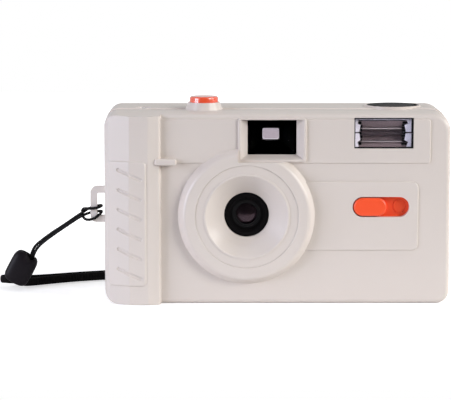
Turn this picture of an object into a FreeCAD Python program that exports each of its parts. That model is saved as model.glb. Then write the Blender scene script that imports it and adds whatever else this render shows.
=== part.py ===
import FreeCAD, Part
import math
import os

V = FreeCAD.Vector
os.makedirs("parts", exist_ok=True)

# A compact 35 mm film camera, in millimetres.
# +X is to the right as the camera is seen from its front, +Y is away from the lens side, +Z is up.
# The origin is the centre of the flat base.

# Case
WIDTH = 116.0
HEIGHT = 65.0
FRONT_Y = -18.0
REAR_Y = 18.0
WALL = 1.8
FRONT_SEAM_Y = -13.0
DOOR_SEAM_Y = 12.0
CORNER_TOP_LEFT = 4.6
CORNER_TOP_RIGHT = 5.8
CORNER_BOTTOM_LEFT = 4.8
CORNER_BOTTOM_RIGHT = 4.3
EDGE_ROUND = 1.6
TOP_STEP = 0.4
TOP_STEP_Y = -4.5
TOP_SLOPE = 0.14
SEAM_GAP = 0.15

# Clearances
RUNNING = 0.05
SLIDING = 0.25
AIR = 0.4
SEAT = 0.05

# Lens
LENS_X = -10.2
LENS_Z = 0.46 * HEIGHT
BOSS_BASE_R = 23.6
BOSS_FRONT_R = 21.2
BOSS_RISE = 3.4
BOSS_ROUND = 1.6
BEZEL_R = 17.2
BEZEL_GAP = 0.08
BEZEL_INSET = 0.25
LIP_ROUND = 0.2
CONE_MOUTH_R = 13.8
CONE_DEPTH = 6.2
CONE_LIP = 0.7
CONE_WALL = 1.2
BARREL_R = 7.15
BARREL_LENGTH = 5.8
BARREL_STEPS = 3
BARREL_STEP = 0.55
GLASS_R = 3.9
GLASS_THICK = 2.0
APERTURE_R = 1.2
SHEET = 0.3

# Raised panels of the front
PANEL_RISE = 0.45
PANEL_EDGE = 0.3
UPPER_PANEL_RIGHT = 51.2
UPPER_PANEL_Z = HEIGHT - 17.4
UPPER_PANEL_ROUND = 1.0
LOWER_PANEL_RIGHT = 47.3
LOWER_PANEL_Z = (LENS_Z - 11.7, LENS_Z + 11.5)
LOWER_PANEL_ROUND = 2.2

# Hand grip, from the left side to the step beside the lens panel
GRIP_RISE = 3.5
GRIP_STEP_X = -38.9
GRIP_RIDGE_X = -43.2
GRIP_FRONT_X = -49.4
GRIP_SIDE_X = -56.3
GRIP_RIDGE_ROUND = 2.0
GRIP_FACET_ROUND = 0.8
PAD_RISE = 0.45
PAD_Z = (6.2, HEIGHT - 16.35)
PAD_RIGHT_X = -43.65
PAD_LEFT_X = -56.9
PAD_ROUND = 1.8
PAD_EDGE_ROUND = 0.8
GROOVE_X = (-53.3, -45.7)
GROOVE_DROP = 3.2
GROOVE_TOP_Z = PAD_Z[1] - 3.1
GROOVE_COUNT = 6
GROOVE_PITCH = (PAD_Z[1] - PAD_Z[0] - 9.05) / (GROOVE_COUNT - 1)
GROOVE_DEPTH = 0.4
GROOVE_R = 0.75
TAB_X = (-41.0, -33.7)
TAB_Z = (UPPER_PANEL_Z - 0.5, UPPER_PANEL_Z + 1.7)
TAB_RISE = 3.4
TAB_ROUND = 0.7

# Viewfinder
FINDER_MOUTH_X = (-12.3, 8.9)
FINDER_MOUTH_Z = (HEIGHT - 16.1, HEIGHT - 2.7)
FINDER_WINDOW_X = (-9.9, 6.5)
FINDER_WINDOW_Z = (HEIGHT - 14.7, HEIGHT - 3.2)
FINDER_RIM = 0.8
FINDER_RIM_RISE = 1.2
FINDER_RIM_ROUND = 0.3
FINDER_DEPTH = 3.7
FINDER_WALL = 1.0
EYEPIECE_WIDTH = 10.0
EYEPIECE_HEIGHT = 7.0
EYEPIECE_Z = HEIGHT - 6.4
EYEPIECE_WALL = 0.6
FINDER_TAPER_Y = (-11.5, 10.6)
EYEPIECE_THICK = 1.8
FINDER_LENS_EDGE = 3.2
FINDER_LENS_CENTRE = 0.9
FINDER_LENS_HOLLOW_R = 20.5
FINDER_LENS_DROP = 3.5

# Flash
FLASH_X = (25.7, 45.5)
FLASH_Z = (HEIGHT - 12.4, HEIGHT - 2.2)
FLASH_WINDOW_THICK = 1.0
FLASH_RIB_PITCH = 1.7
FLASH_RIB_DEPTH = 0.3
REFLECTOR_DEPTH = 5.4
REFLECTOR_SHEET = 0.4
TUBE_R = 1.1
SLEEVE_R = 1.6
SLEEVE_LENGTH = 1.6

# Flash switch
SLOT_X = (25.3, 44.3)
SLOT_Z = (LENS_Z - 0.4, LENS_Z + 6.4)
SLIDER_TRAVEL = 7.3
SLIDER_GAP = 0.35
SLIDER_PROUD = 0.5
SLIDER_PLATE = 1.0
SLIDER_DOT_R = 2.4
SLIDER_DOT_DEPTH = 0.25

# Flash circuit
BOARD_X = (23.6, 55.4)
BOARD_Z = (6.0, HEIGHT - 19.0)
BOARD_THICK = 1.0
BOARD_Y = -12.9
CAPACITOR_R = 4.0
CAPACITOR_LENGTH = 21.0
CAPACITOR_Y = -2.6
CAPACITOR_Z = 8.4
CRADLE_INSET = 4.0
CRADLE_WIDTH = 1.4
TRANSFORMER = (4.6, 4.2, 8.0)
TRANSFORMER_AT = (50.6, 16.0)
LAMP_R = 1.5

# Battery, one slim cell standing in the bottom
CELL_R = 5.25
CELL_LENGTH = HEIGHT - 20.5
CELL_NIB_R = 1.9
CELL_NIB = 0.8
CELL_AT = (17.0, -4.0)
CELL_BAY_GAP = 0.45
CELL_BAY_WALL = 0.9
BATTERY_DOOR_X = (9.6, 24.6)
BATTERY_DOOR_Y = (-10.6, 2.6)
BATTERY_DOOR_THICK = 1.5
CONTACT_SHEET = 0.3
BATTERY_PIN_R = 0.43
LEAD_R = 0.45

# Film and its path
FILM_GATE = (36.0, 24.0)
FILM_PLANE_Y = 12.2
RAIL_RISE = 0.4
RAIL_WIDTH = 1.6
CARTRIDGE_R = 12.9
CARTRIDGE_Z = (5.4, HEIGHT - 12.6)
CARTRIDGE_AT = (40.0, 3.0)
CHASSIS_WALL = 1.0
CHASSIS_FRONT_Y = -7.4
CONE_FRONT_R = 4.2

# Film advance
SPOOL_AT = (-47.6, 7.6)
SPOOL_R = 5.0
SPOOL_FLANGE_R = 7.3
SPOOL_CHAMBER_R = 8.2
SPOOL_SHAFT_R = 2.0
SPROCKET_Y = 7.1
SPROCKET_R = 4.9
SPROCKET_DRUM_R = 4.3
SPROCKET_TEETH = 6
FILM_WIDTH = 35.0
PERFORATION_INSET = 2.8
SPROCKET_SHAFT_R = 1.5
GEAR_MODULE = 0.5
SPOOL_GEAR_TEETH = 28
SPROCKET_GEAR_TEETH = 24
GEAR_THICK = 1.4
GEAR_ROOM = 0.5
THUMB_R = 12.0
THUMB_Z = (HEIGHT - 8.6, HEIGHT - 5.4)
THUMB_KNURLS = 44
THUMB_KNURL_R = 0.45
THUMB_SLOT_HALF = 8.4
DIAL_AT = (-45.0, -6.6)
DIAL_R = 6.6
DIAL_THICK = 0.8
DIAL_POST_R = 1.0
COUNTER_WINDOW_R = 2.6
COUNTER_WINDOW_Y = -1.7

# Rewind
KNOB_R = 8.75
KNOB_THICK = 2.9
KNOB_PROUD = 0.6
DISH_R = 9.05
DISH_LIP = 0.6
DISH_LIP_RISE = 0.5
DISH_DEPTH = 2.7
DISH_FLOOR = 1.4
REWIND_SHAFT_R = 2.0
FORK_R = 2.9
FORK_LENGTH = 4.0
FORK_SLOT = 1.4
CRANK_WIDTH = 4.0
CRANK_THICK = 0.9
CRANK_PIVOT = -7.0
CRANK_TURN = 180.0
CRANK_END = 7.2
CRANK_PIN_R = 0.4
HANDLE_R = 1.9
HANDLE_STUD_R = 0.6

# Shutter
BUTTON_AT = (-24.6, -5.0)
BUTTON_R = 4.8
BUTTON_PROUD = 4.1
BUTTON_STEM_R = 1.5
BUTTON_STEM_Z = HEIGHT - 8.1
COLLAR_R = 6.3
COLLAR_TOP_R = 5.4
COLLAR_RISE = 2.1
SPRING_WIRE = 0.4
SHUTTER_PLATE_X = (-29.0, 9.8)
SHUTTER_PLATE_Z = (13.0, HEIGHT - 11.5)
SHUTTER_PLATE_THICK = 0.8
SHUTTER_HOLE_R = 3.0
BLADE_PIVOT = (-19.6, LENS_Z)
BLADE_R = 3.4
BLADE_TAIL = 9.6
LEVER_PIVOT = (-16.6, HEIGHT - 14.5)
LEVER_TIP = (-21.6, LENS_Z + 9.4)
LEVER_THICK = 0.8
LEVER_PAD_GAP = 0.35
LEVER_ARM = 2.4
POST_R = 0.9
HUB_R = 1.9

# Back door
DOOR_Z = (4.3, HEIGHT - 11.6)
DOOR_GAP = 0.3
DOOR_WALL = 1.6
HINGE_R = 2.8
HINGE_PIN_R = 0.8
DOOR_END = 0.9
BAND_LEDGE = 0.75
PRESSURE_PLATE = (46.0, 33.0)
PRESSURE_THICK = 1.2
FILM_ROOM = 0.35
DOOR_WINDOW_X = (34.0, 46.0)
DOOR_WINDOW_Z = (12.0, HEIGHT - 21.0)
DOOR_WINDOW_THICK = 1.0
SEAL_WIDTH = 1.4
SEAL_THICK = 0.5
LATCH_Z = (24.0, 34.0)
LATCH_TRAVEL = 3.5
LATCH_Y = (4.0, 10.6)
LATCH_KNOB = (4.4, 5.0)
LATCH_FINGER = 3.0
LATCH_SPRING_Z = LATCH_Z[1] + 9.5

# Screws
SCREW_R = 0.85
SCREW_HEAD_R = 1.6
SCREW_HEAD = 1.1
SCREW_LENGTH = 9.0
SCREW_SLOT = 0.45
TOP_SCREWS_X = (-17.6, 20.2)
TOP_SCREW_Z = HEIGHT - 6.2
TOP_SCREW_SEAT_Y = 6.0
LOW_SCREWS_X = (-24.4, 6.0)
LOW_SCREW_Z = 8.4
LOW_SCREW_SEAT = 3.4
BOSS_R = 2.1
PLATE_SCREW_R = 0.6
PLATE_SCREW_HEAD_R = 1.2

# Strap lug and strap
LUG_OUT = 5.7
LUG_Z = (LENS_Z - 4.5, LENS_Z + 7.9)
LUG_BAR = 2.3
LUG_THICK = 2.6
LUG_ROUND = 2.2
LUG_HEAD = 0.8
CORD_R = 0.5
BEAD_WIDTH = 8.4
BEAD_DEPTH = 5.6
BEAD_ROUND = 2.6
BEAD_TOP = (-86.2, 11.0, 12.6)
BEAD_FOOT = (-91.7, 11.0, 2.3)
STRAP_BAND = (1.0, 2.9)

LEFT_X = -WIDTH / 2
RIGHT_X = WIDTH / 2


# Simple solids

def box(x0, x1, y0, y1, z0, z1):
    return Part.makeBox(x1 - x0, y1 - y0, z1 - z0, V(x0, y0, z0))


def rod_x(x0, x1, y, z, r):
    return Part.makeCylinder(r, x1 - x0, V(x0, y, z), V(1, 0, 0))


def rod_y(y0, y1, x, z, r):
    return Part.makeCylinder(r, y1 - y0, V(x, y0, z), V(0, 1, 0))


def rod_z(z0, z1, x, y, r):
    return Part.makeCylinder(r, z1 - z0, V(x, y, z0), V(0, 0, 1))


def cone_y(y0, y1, x, z, r0, r1):
    return Part.makeCone(r0, r1, y1 - y0, V(x, y0, z), V(0, 1, 0))


def rod_between(a, b, r):
    run = b - a
    return Part.makeCylinder(r, run.Length, a, run)


def prism(points, along):
    face = Part.Face(Part.makePolygon(points + [points[0]]))
    return face.extrude(along)


def prism_z(points, z0, z1):
    return prism([V(x, y, z0) for x, y in points], V(0, 0, z1 - z0))


def prism_y(points, y0, y1):
    return prism([V(x, y0, z) for x, z in points], V(0, y1 - y0, 0))


def prism_x(points, x0, x1):
    return prism([V(x0, y, z) for y, z in points], V(x1 - x0, 0, 0))


def rounded_wire(x0, x1, z0, z1, radii, y):
    """Rectangle in the XZ plane with radii for its bottom left, bottom right, top right and top left."""
    corners = [(x0, z0, 1, 1), (x1, z0, -1, 1), (x1, z1, -1, -1), (x0, z1, 1, -1)]
    starts = [180, 270, 0, 90]
    edges = []
    points = []
    for (x, z, sx, sz), r, start in zip(corners, radii, starts):
        centre = V(x + sx * r, y, z + sz * r)
        at = [centre + V(math.cos(math.radians(start + a)) * r, 0, math.sin(math.radians(start + a)) * r)
              for a in (0, 45, 90)]
        points.append(at)
        edges.append(Part.Arc(*at).toShape())
    joined = []
    for i, at in enumerate(points):
        joined.append(edges[i])
        following = points[(i + 1) % 4][0]
        if (following - at[2]).Length > 1e-6:
            joined.append(Part.LineSegment(at[2], following).toShape())
    return Part.Wire(joined)


def rounded_block(x0, x1, z0, z1, radii, y0, y1):
    if not isinstance(radii, tuple):
        radii = (radii,) * 4
    return Part.Face(rounded_wire(x0, x1, z0, z1, radii, y0)).extrude(V(0, y1 - y0, 0))


def case_wire(inset, drop, y):
    """Outline of the case, set in all round and with its top lowered by a drop."""
    radii = tuple(max(r - inset, 0.6) for r in (CORNER_BOTTOM_LEFT, CORNER_BOTTOM_RIGHT,
                                                CORNER_TOP_RIGHT, CORNER_TOP_LEFT))
    return rounded_wire(LEFT_X + inset, RIGHT_X - inset, inset, HEIGHT - inset - drop, radii, y)


def case_block(inset, y0, y1, drop=0.0):
    return Part.Face(case_wire(inset, drop, y0)).extrude(V(0, y1 - y0, 0))


def sloped_case_block(front_y):
    """Front end of the case, whose top falls gently from the seam towards the front."""
    front_drop = TOP_STEP + TOP_SLOPE * (FRONT_SEAM_Y - front_y)
    return Part.makeLoft([case_wire(0, TOP_STEP, FRONT_SEAM_Y), case_wire(0, front_drop, front_y)], True, True)


def edges_at(shape, test):
    found = []
    for edge in shape.Edges:
        points = edge.discretize(5)
        if all(test(p) for p in points):
            found.append(edge)
    return found


def fillet_where(shape, radius, test):
    edges = edges_at(shape, test)
    return shape.makeFillet(radius, edges)


def fuse(first, *others):
    result = first
    for other in others:
        result = result.fuse(other)
    return result.removeSplitter()


def cut(first, *others):
    result = first
    for other in others:
        result = result.cut(other)
    return result


def turned(shape, centre, axis, degrees):
    copy = shape.copy()
    copy.rotate(centre, axis, degrees)
    return copy


def gear_z(x, y, z0, z1, teeth, bore_r, phase):
    """Spur gear with straight sided teeth, at module GEAR_MODULE."""
    pitch_r = teeth * GEAR_MODULE / 2
    tip_r = pitch_r + GEAR_MODULE * 0.8
    root_r = pitch_r - GEAR_MODULE * 1.2
    step = 360.0 / teeth
    points = []
    for i in range(teeth):
        for r, part_of_step in ((root_r, -0.32), (tip_r, -0.11), (tip_r, 0.11), (root_r, 0.32)):
            angle = math.radians(phase + (i + part_of_step) * step)
            points.append((x + r * math.cos(angle), y + r * math.sin(angle)))
    return cut(prism_z(points, z0, z1), rod_z(z0 - 1, z1 + 1, x, y, bore_r))


def one_solid(name, shape, count=1):
    """Writes a node and reports anything but the wanted number of valid solids."""
    solids = shape.Solids
    if len(solids) != count or not shape.isValid():
        print("CHECK", name, "solids", len(solids), "wanted", count, "valid", shape.isValid())
    whole = solids[0] if count == 1 and len(solids) == 1 else Part.makeCompound(solids)
    whole.exportStep("parts/%s.step" % name)
    box_of = whole.BoundBox
    print("%-20s %8.1f mm3  x %7.2f %7.2f  y %7.2f %7.2f  z %7.2f %7.2f" % (
        name, whole.Volume, box_of.XMin, box_of.XMax, box_of.YMin, box_of.YMax, box_of.ZMin, box_of.ZMax))


# Places worked out from the sizes above
HINGE_AT = (LEFT_X + HINGE_R, REAR_Y - HINGE_R)
INNER_FRONT_Y = FRONT_Y + WALL
INNER_REAR_Y = REAR_Y - WALL
DOOR_INNER_Y = REAR_Y - DOOR_WALL
INNER_TOP_Z = HEIGHT - WALL
BAND_Z = DOOR_Z[1] + DOOR_GAP
SILL_Z = DOOR_Z[0] - DOOR_GAP
ROOF_Z = (CARTRIDGE_Z[1], CARTRIDGE_Z[1] + CHASSIS_WALL)
FLOOR_Z = (CARTRIDGE_Z[0] - CHASSIS_WALL, CARTRIDGE_Z[0])
FINDER_FLOOR_Z = FINDER_WINDOW_Z[0] - FINDER_WALL
MID_ROOF_Z = (FINDER_FLOOR_Z - SEAT - CHASSIS_WALL, FINDER_FLOOR_Z - SEAT)
FINDER_LENS_Y = FRONT_Y - FINDER_RIM_RISE + FINDER_DEPTH
GATE_X = (LENS_X - FILM_GATE[0] / 2, LENS_X + FILM_GATE[0] / 2)
GATE_Z = (LENS_Z - FILM_GATE[1] / 2, LENS_Z + FILM_GATE[1] / 2)
BOSS_FRONT_Y = FRONT_Y - BOSS_RISE
BARREL_Y = BOSS_FRONT_Y + CONE_DEPTH
BEZEL_HOLE_R = BARREL_R + 3.6
BARREL_REAR_Y = BARREL_Y + BARREL_LENGTH
SHUTTER_Y = CHASSIS_FRONT_Y - SHUTTER_PLATE_THICK - SEAT
GEAR_DISTANCE = (SPOOL_GEAR_TEETH + SPROCKET_GEAR_TEETH) * GEAR_MODULE / 2
SPROCKET_AT = (SPOOL_AT[0] + math.sqrt(GEAR_DISTANCE ** 2 - (SPOOL_AT[1] - SPROCKET_Y) ** 2), SPROCKET_Y)
GEAR_Z = (ROOF_Z[1] + GEAR_ROOM, ROOF_Z[1] + GEAR_ROOM + GEAR_THICK)
DIAL_Z = (INNER_TOP_Z - 0.8 - AIR - DIAL_THICK, INNER_TOP_Z - 0.8 - AIR)
BUTTON_SEAT_Z = BUTTON_STEM_Z + 1.6
LAMP_AT = (14.0, EYEPIECE_Z)
CAPACITOR_X = sum(LOW_SCREWS_X) / 2 - CAPACITOR_LENGTH / 2


def revolve_y(profile, x, z):
    """Turns (radius, y) points about the line through (x, z) along Y."""
    face = Part.Face(Part.makePolygon([V(x + r, y, z) for r, y in profile + [profile[0]]]))
    return face.revolve(V(x, 0, z), V(0, 1, 0), 360)


def loft_y(first, second):
    """Solid between two rectangles (x0, x1, z0, z1, y)."""
    wires = []
    for x0, x1, z0, z1, y in (first, second):
        corners = [V(x0, y, z0), V(x1, y, z0), V(x1, y, z1), V(x0, y, z1)]
        wires.append(Part.makePolygon(corners + [corners[0]]))
    return Part.makeLoft(wires, True, True)


def stadium_y(x0, x1, z0, z1, y0, y1):
    """Block along Y whose two ends in X are half round."""
    r = (z1 - z0) / 2
    middle = (z0 + z1) / 2
    return fuse(box(x0 + r, x1 - r, y0, y1, z0, z1), rod_y(y0, y1, x0 + r, middle, r),
                rod_y(y0, y1, x1 - r, middle, r))


def screw_y(x, z, tip_y, head_y, r, head_r, head):
    """Round headed screw along Y with its head towards +Y and a straight slot."""
    body = fuse(rod_y(tip_y, head_y, x, z, r), rod_y(head_y, head_y + head, x, z, head_r))
    slot = box(x - head_r, x + head_r, head_y + head - SCREW_SLOT, head_y + head + 1,
               z - SCREW_SLOT / 2, z + SCREW_SLOT / 2)
    return body.cut(slot)


# Case

def grip_profile(inset):
    """Plan of the grip, from the seam on the left side to the step beside the lens panel."""
    return [(LEFT_X + inset, FRONT_SEAM_Y), (LEFT_X + inset, FRONT_Y + 3.0),
            (LEFT_X + 0.5 + inset, FRONT_Y + 1.2 + inset / 2), (GRIP_SIDE_X + inset / 2, FRONT_Y - 0.1 + inset),
            (GRIP_FRONT_X, FRONT_Y - GRIP_RISE + 0.5 + inset), (GRIP_RIDGE_X, FRONT_Y - GRIP_RISE + inset),
            (GRIP_STEP_X - 0.5 - inset, FRONT_Y - GRIP_RISE + 1.3 + inset),
            (GRIP_STEP_X - inset, FRONT_Y + inset), (GRIP_STEP_X - inset, FRONT_SEAM_Y)]


def soft_grip_prism():
    """Grip block with the round of each upright edge beside its facets."""
    profile = grip_profile(0)
    body = prism_z(profile, 0, HEIGHT)
    rounds = {3: GRIP_FACET_ROUND, 4: GRIP_FACET_ROUND, 5: GRIP_RIDGE_ROUND, 6: GRIP_FACET_ROUND}
    for i, radius in rounds.items():
        x, y = profile[i]
        body = fillet_where(body, radius, lambda p: abs(p.x - x) < 1e-6 and abs(p.y - y) < 1e-6)
    return body


def grip_outside():
    body = soft_grip_prism().common(sloped_case_block(FRONT_Y - GRIP_RISE - 1))
    foot = prism_x([(FRONT_Y - GRIP_RISE - 1, 1.4), (FRONT_Y - GRIP_RISE + 1.4, -1),
                    (FRONT_Y - GRIP_RISE - 1, -1)], LEFT_X - 1, GRIP_STEP_X + 1)
    return body.cut(foot)


def grip_pad():
    """Raised skin on the grip's facets."""
    skin = soft_grip_prism()
    skin.translate(V(-PAD_RISE * 0.4, -PAD_RISE, 0))
    window = rounded_block(PAD_LEFT_X, PAD_RIGHT_X, PAD_Z[0], PAD_Z[1], PAD_ROUND,
                           FRONT_Y - GRIP_RISE - 2, FRONT_SEAM_Y - 1)
    pad = skin.common(window)
    return fillet_where(pad, PAD_EDGE_ROUND, lambda p: abs(p.x - PAD_RIGHT_X) < 1e-6 and p.y < FRONT_Y - 1)


def groove_cutters():
    """Round bottomed slanted grooves that follow the two facets of the pad."""
    facets = [(x - PAD_RISE * 0.4, y - PAD_RISE) for x, y in grip_profile(0)[3:6]]
    lift = GROOVE_R - GROOVE_DEPTH
    runs = []
    for (x0, y0), (x1, y1) in zip(facets, facets[1:]):
        slope = (y1 - y0) / (x1 - x0)
        ends = [min(max(x, GROOVE_X[0]), GROOVE_X[1]) for x in (x0, x1)]
        runs.append([(x, y0 + slope * (x - x0) - lift) for x in ends])
    cutters = []
    for i in range(GROOVE_COUNT):
        top = GROOVE_TOP_Z - i * GROOVE_PITCH
        for run in runs:
            a, b = [V(x, y, top - GROOVE_DROP * (x - GROOVE_X[0]) / (GROOVE_X[1] - GROOVE_X[0]))
                    for x, y in run]
            cutters.append(fuse(rod_between(a, b, GROOVE_R), Part.makeSphere(GROOVE_R, a),
                                Part.makeSphere(GROOVE_R, b)))
    return cutters


def soft_panel(x0, x1, z0, z1, corner):
    """Raised panel of the front with a rounded edge."""
    front = FRONT_Y - PANEL_RISE
    return fillet_where(rounded_block(x0, x1, z0, z1, corner, front, FRONT_Y + 1), PANEL_EDGE,
                        lambda p: abs(p.y - front) < 1e-6)


def front_cover():
    plate = sloped_case_block(FRONT_Y)
    plate = fillet_where(plate, EDGE_ROUND, lambda p: abs(p.y - FRONT_Y) < 1e-6)
    plate = plate.cut(box(LEFT_X - 1, GRIP_STEP_X, FRONT_Y - 1, FRONT_SEAM_Y + 1, -1, HEIGHT + 1))
    upper_top = HEIGHT - TOP_STEP - TOP_SLOPE * (FRONT_SEAM_Y - FRONT_Y) - EDGE_ROUND
    upper = soft_panel(GRIP_STEP_X - 1.5, UPPER_PANEL_RIGHT, UPPER_PANEL_Z, upper_top, UPPER_PANEL_ROUND)
    lower = soft_panel(LENS_X, LOWER_PANEL_RIGHT, LOWER_PANEL_Z[0], LOWER_PANEL_Z[1], LOWER_PANEL_ROUND)
    boss = cone_y(BOSS_FRONT_Y, FRONT_Y + 1, LENS_X, LENS_Z, BOSS_FRONT_R, BOSS_BASE_R)
    boss = fillet_where(boss, BOSS_ROUND, lambda p: abs(p.y - BOSS_FRONT_Y) < 1e-6)
    rim_x = (FINDER_MOUTH_X[0] - FINDER_RIM, FINDER_MOUTH_X[1] + FINDER_RIM)
    rim_z = (FINDER_MOUTH_Z[0] - FINDER_RIM, FINDER_MOUTH_Z[1] + FINDER_RIM / 2)
    rim_y = FRONT_Y - FINDER_RIM_RISE
    boss = boss.cut(box(rim_x[0], rim_x[1], BOSS_FRONT_Y - 1, rim_y, rim_z[0], HEIGHT))
    rim = rounded_block(rim_x[0], rim_x[1], rim_z[0], rim_z[1], FINDER_RIM, rim_y, FRONT_Y + 1)
    rim = fillet_where(rim, FINDER_RIM_ROUND, lambda p: abs(p.y - rim_y) < 1e-6)
    tab_y = FRONT_Y - TAB_RISE
    tab = rounded_block(TAB_X[0], TAB_X[1], TAB_Z[0], TAB_Z[1], TAB_ROUND, tab_y, FRONT_Y + 1)
    tab = fillet_where(tab, TAB_ROUND * 0.9, lambda p: abs(p.y - tab_y) < 1e-6)
    body = fuse(plate, grip_outside(), grip_pad(), upper, lower, boss, rim, tab)

    hollow = case_block(WALL, INNER_FRONT_Y, FRONT_SEAM_Y + 1)
    hollow = hollow.cut(box(LEFT_X, GRIP_STEP_X, FRONT_Y, FRONT_SEAM_Y + 2, 0, HEIGHT))
    grip_hollow = prism_z([(x, y + (1 if y == FRONT_SEAM_Y else 0)) for x, y in grip_profile(WALL)],
                          WALL * 2, HEIGHT - TOP_STEP - TOP_SLOPE * GRIP_RISE * 2 - WALL)
    upper_hollow = prism_z([(LEFT_X + WALL, FRONT_SEAM_Y + 1), (LEFT_X + WALL, FRONT_Y + 4.0),
                            (GRIP_SIDE_X, INNER_FRONT_Y), (GRIP_STEP_X, INNER_FRONT_Y),
                            (GRIP_STEP_X, FRONT_SEAM_Y + 1)], WALL * 2, INNER_TOP_Z - TOP_STEP)
    grip_room = fuse(grip_hollow, upper_hollow).common(case_block(WALL, FRONT_Y - 5, FRONT_SEAM_Y + 1))
    body = cut(body, hollow, grip_room, box(GRIP_STEP_X - WALL - 1, GRIP_STEP_X + 1, INNER_FRONT_Y,
                                            FRONT_SEAM_Y + 1, WALL * 2, INNER_TOP_Z))

    finder_frame = box(FINDER_WINDOW_X[0] - FINDER_WALL, FINDER_WINDOW_X[1] + FINDER_WALL,
                       INNER_FRONT_Y - 0.5, FINDER_LENS_Y, FINDER_FLOOR_Z, INNER_TOP_Z + 0.2)
    board_posts = [rod_y(INNER_FRONT_Y - 0.5, BOARD_Y - SEAT, x, z, 1.3)
                   for x in (BOARD_X[0] + 2.2, BOARD_X[1] - 2.2) for z in (BOARD_Z[0] + 2.2, BOARD_Z[1] - 2.2)]
    rails = [box(SLOT_X[0] - SLIDER_TRAVEL - 1.6, SLOT_X[1] + SLIDER_TRAVEL + 1.4, INNER_FRONT_Y - 0.5,
                 INNER_FRONT_Y + SLIDER_PLATE + 0.5, z, z + 0.8)
             for z in (SLOT_Z[0] - 1.5 - SLIDING - 0.8, SLOT_Z[1] + 1.5 + SLIDING)]
    low_posts = [rod_y(INNER_FRONT_Y - 0.5, CHASSIS_FRONT_Y - SEAT, x, LOW_SCREW_Z, BOSS_R)
                 for x in LOW_SCREWS_X]
    top_posts = [rod_y(INNER_FRONT_Y - 0.5, FRONT_SEAM_Y + 2, x, TOP_SCREW_Z, BOSS_R) for x in TOP_SCREWS_X]
    body = fuse(body, finder_frame, *(board_posts + rails + low_posts + top_posts))

    mouth = loft_y((FINDER_MOUTH_X[0], FINDER_MOUTH_X[1], FINDER_MOUTH_Z[0], FINDER_MOUTH_Z[1],
                    FRONT_Y - FINDER_RIM_RISE - 0.001),
                   (FINDER_WINDOW_X[0], FINDER_WINDOW_X[1], FINDER_WINDOW_Z[0], FINDER_WINDOW_Z[1],
                    FINDER_LENS_Y + 0.001))
    seat_profile = [(0, FRONT_Y), (0, BOSS_FRONT_Y - 1), (BEZEL_R + 1 + LIP_ROUND, BOSS_FRONT_Y - 1),
                    (BEZEL_R, BOSS_FRONT_Y + LIP_ROUND), (BEZEL_R, FRONT_Y)]
    bezel_seat = revolve_y(seat_profile, LENS_X, LENS_Z)
    holes = [
        bezel_seat,
        rod_y(FRONT_Y - 1, INNER_FRONT_Y + 1, LENS_X, LENS_Z, BEZEL_HOLE_R),
        mouth,
        box(FLASH_X[0], FLASH_X[1], FRONT_Y - 1, INNER_FRONT_Y + 1, FLASH_Z[0], FLASH_Z[1]),
        stadium_y(SLOT_X[0], SLOT_X[1], SLOT_Z[0], SLOT_Z[1], FRONT_Y - 1, INNER_FRONT_Y + 1),
    ]
    holes += [rod_y(CHASSIS_FRONT_Y + LOW_SCREW_SEAT - SCREW_LENGTH, CHASSIS_FRONT_Y + 1, x, LOW_SCREW_Z,
                    SCREW_R + RUNNING) for x in LOW_SCREWS_X]
    holes += [rod_y(INNER_FRONT_Y + 0.6, FRONT_SEAM_Y + 3, x, TOP_SCREW_Z, SCREW_R + RUNNING)
              for x in TOP_SCREWS_X]
    return cut(body, *(holes + groove_cutters()))


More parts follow.
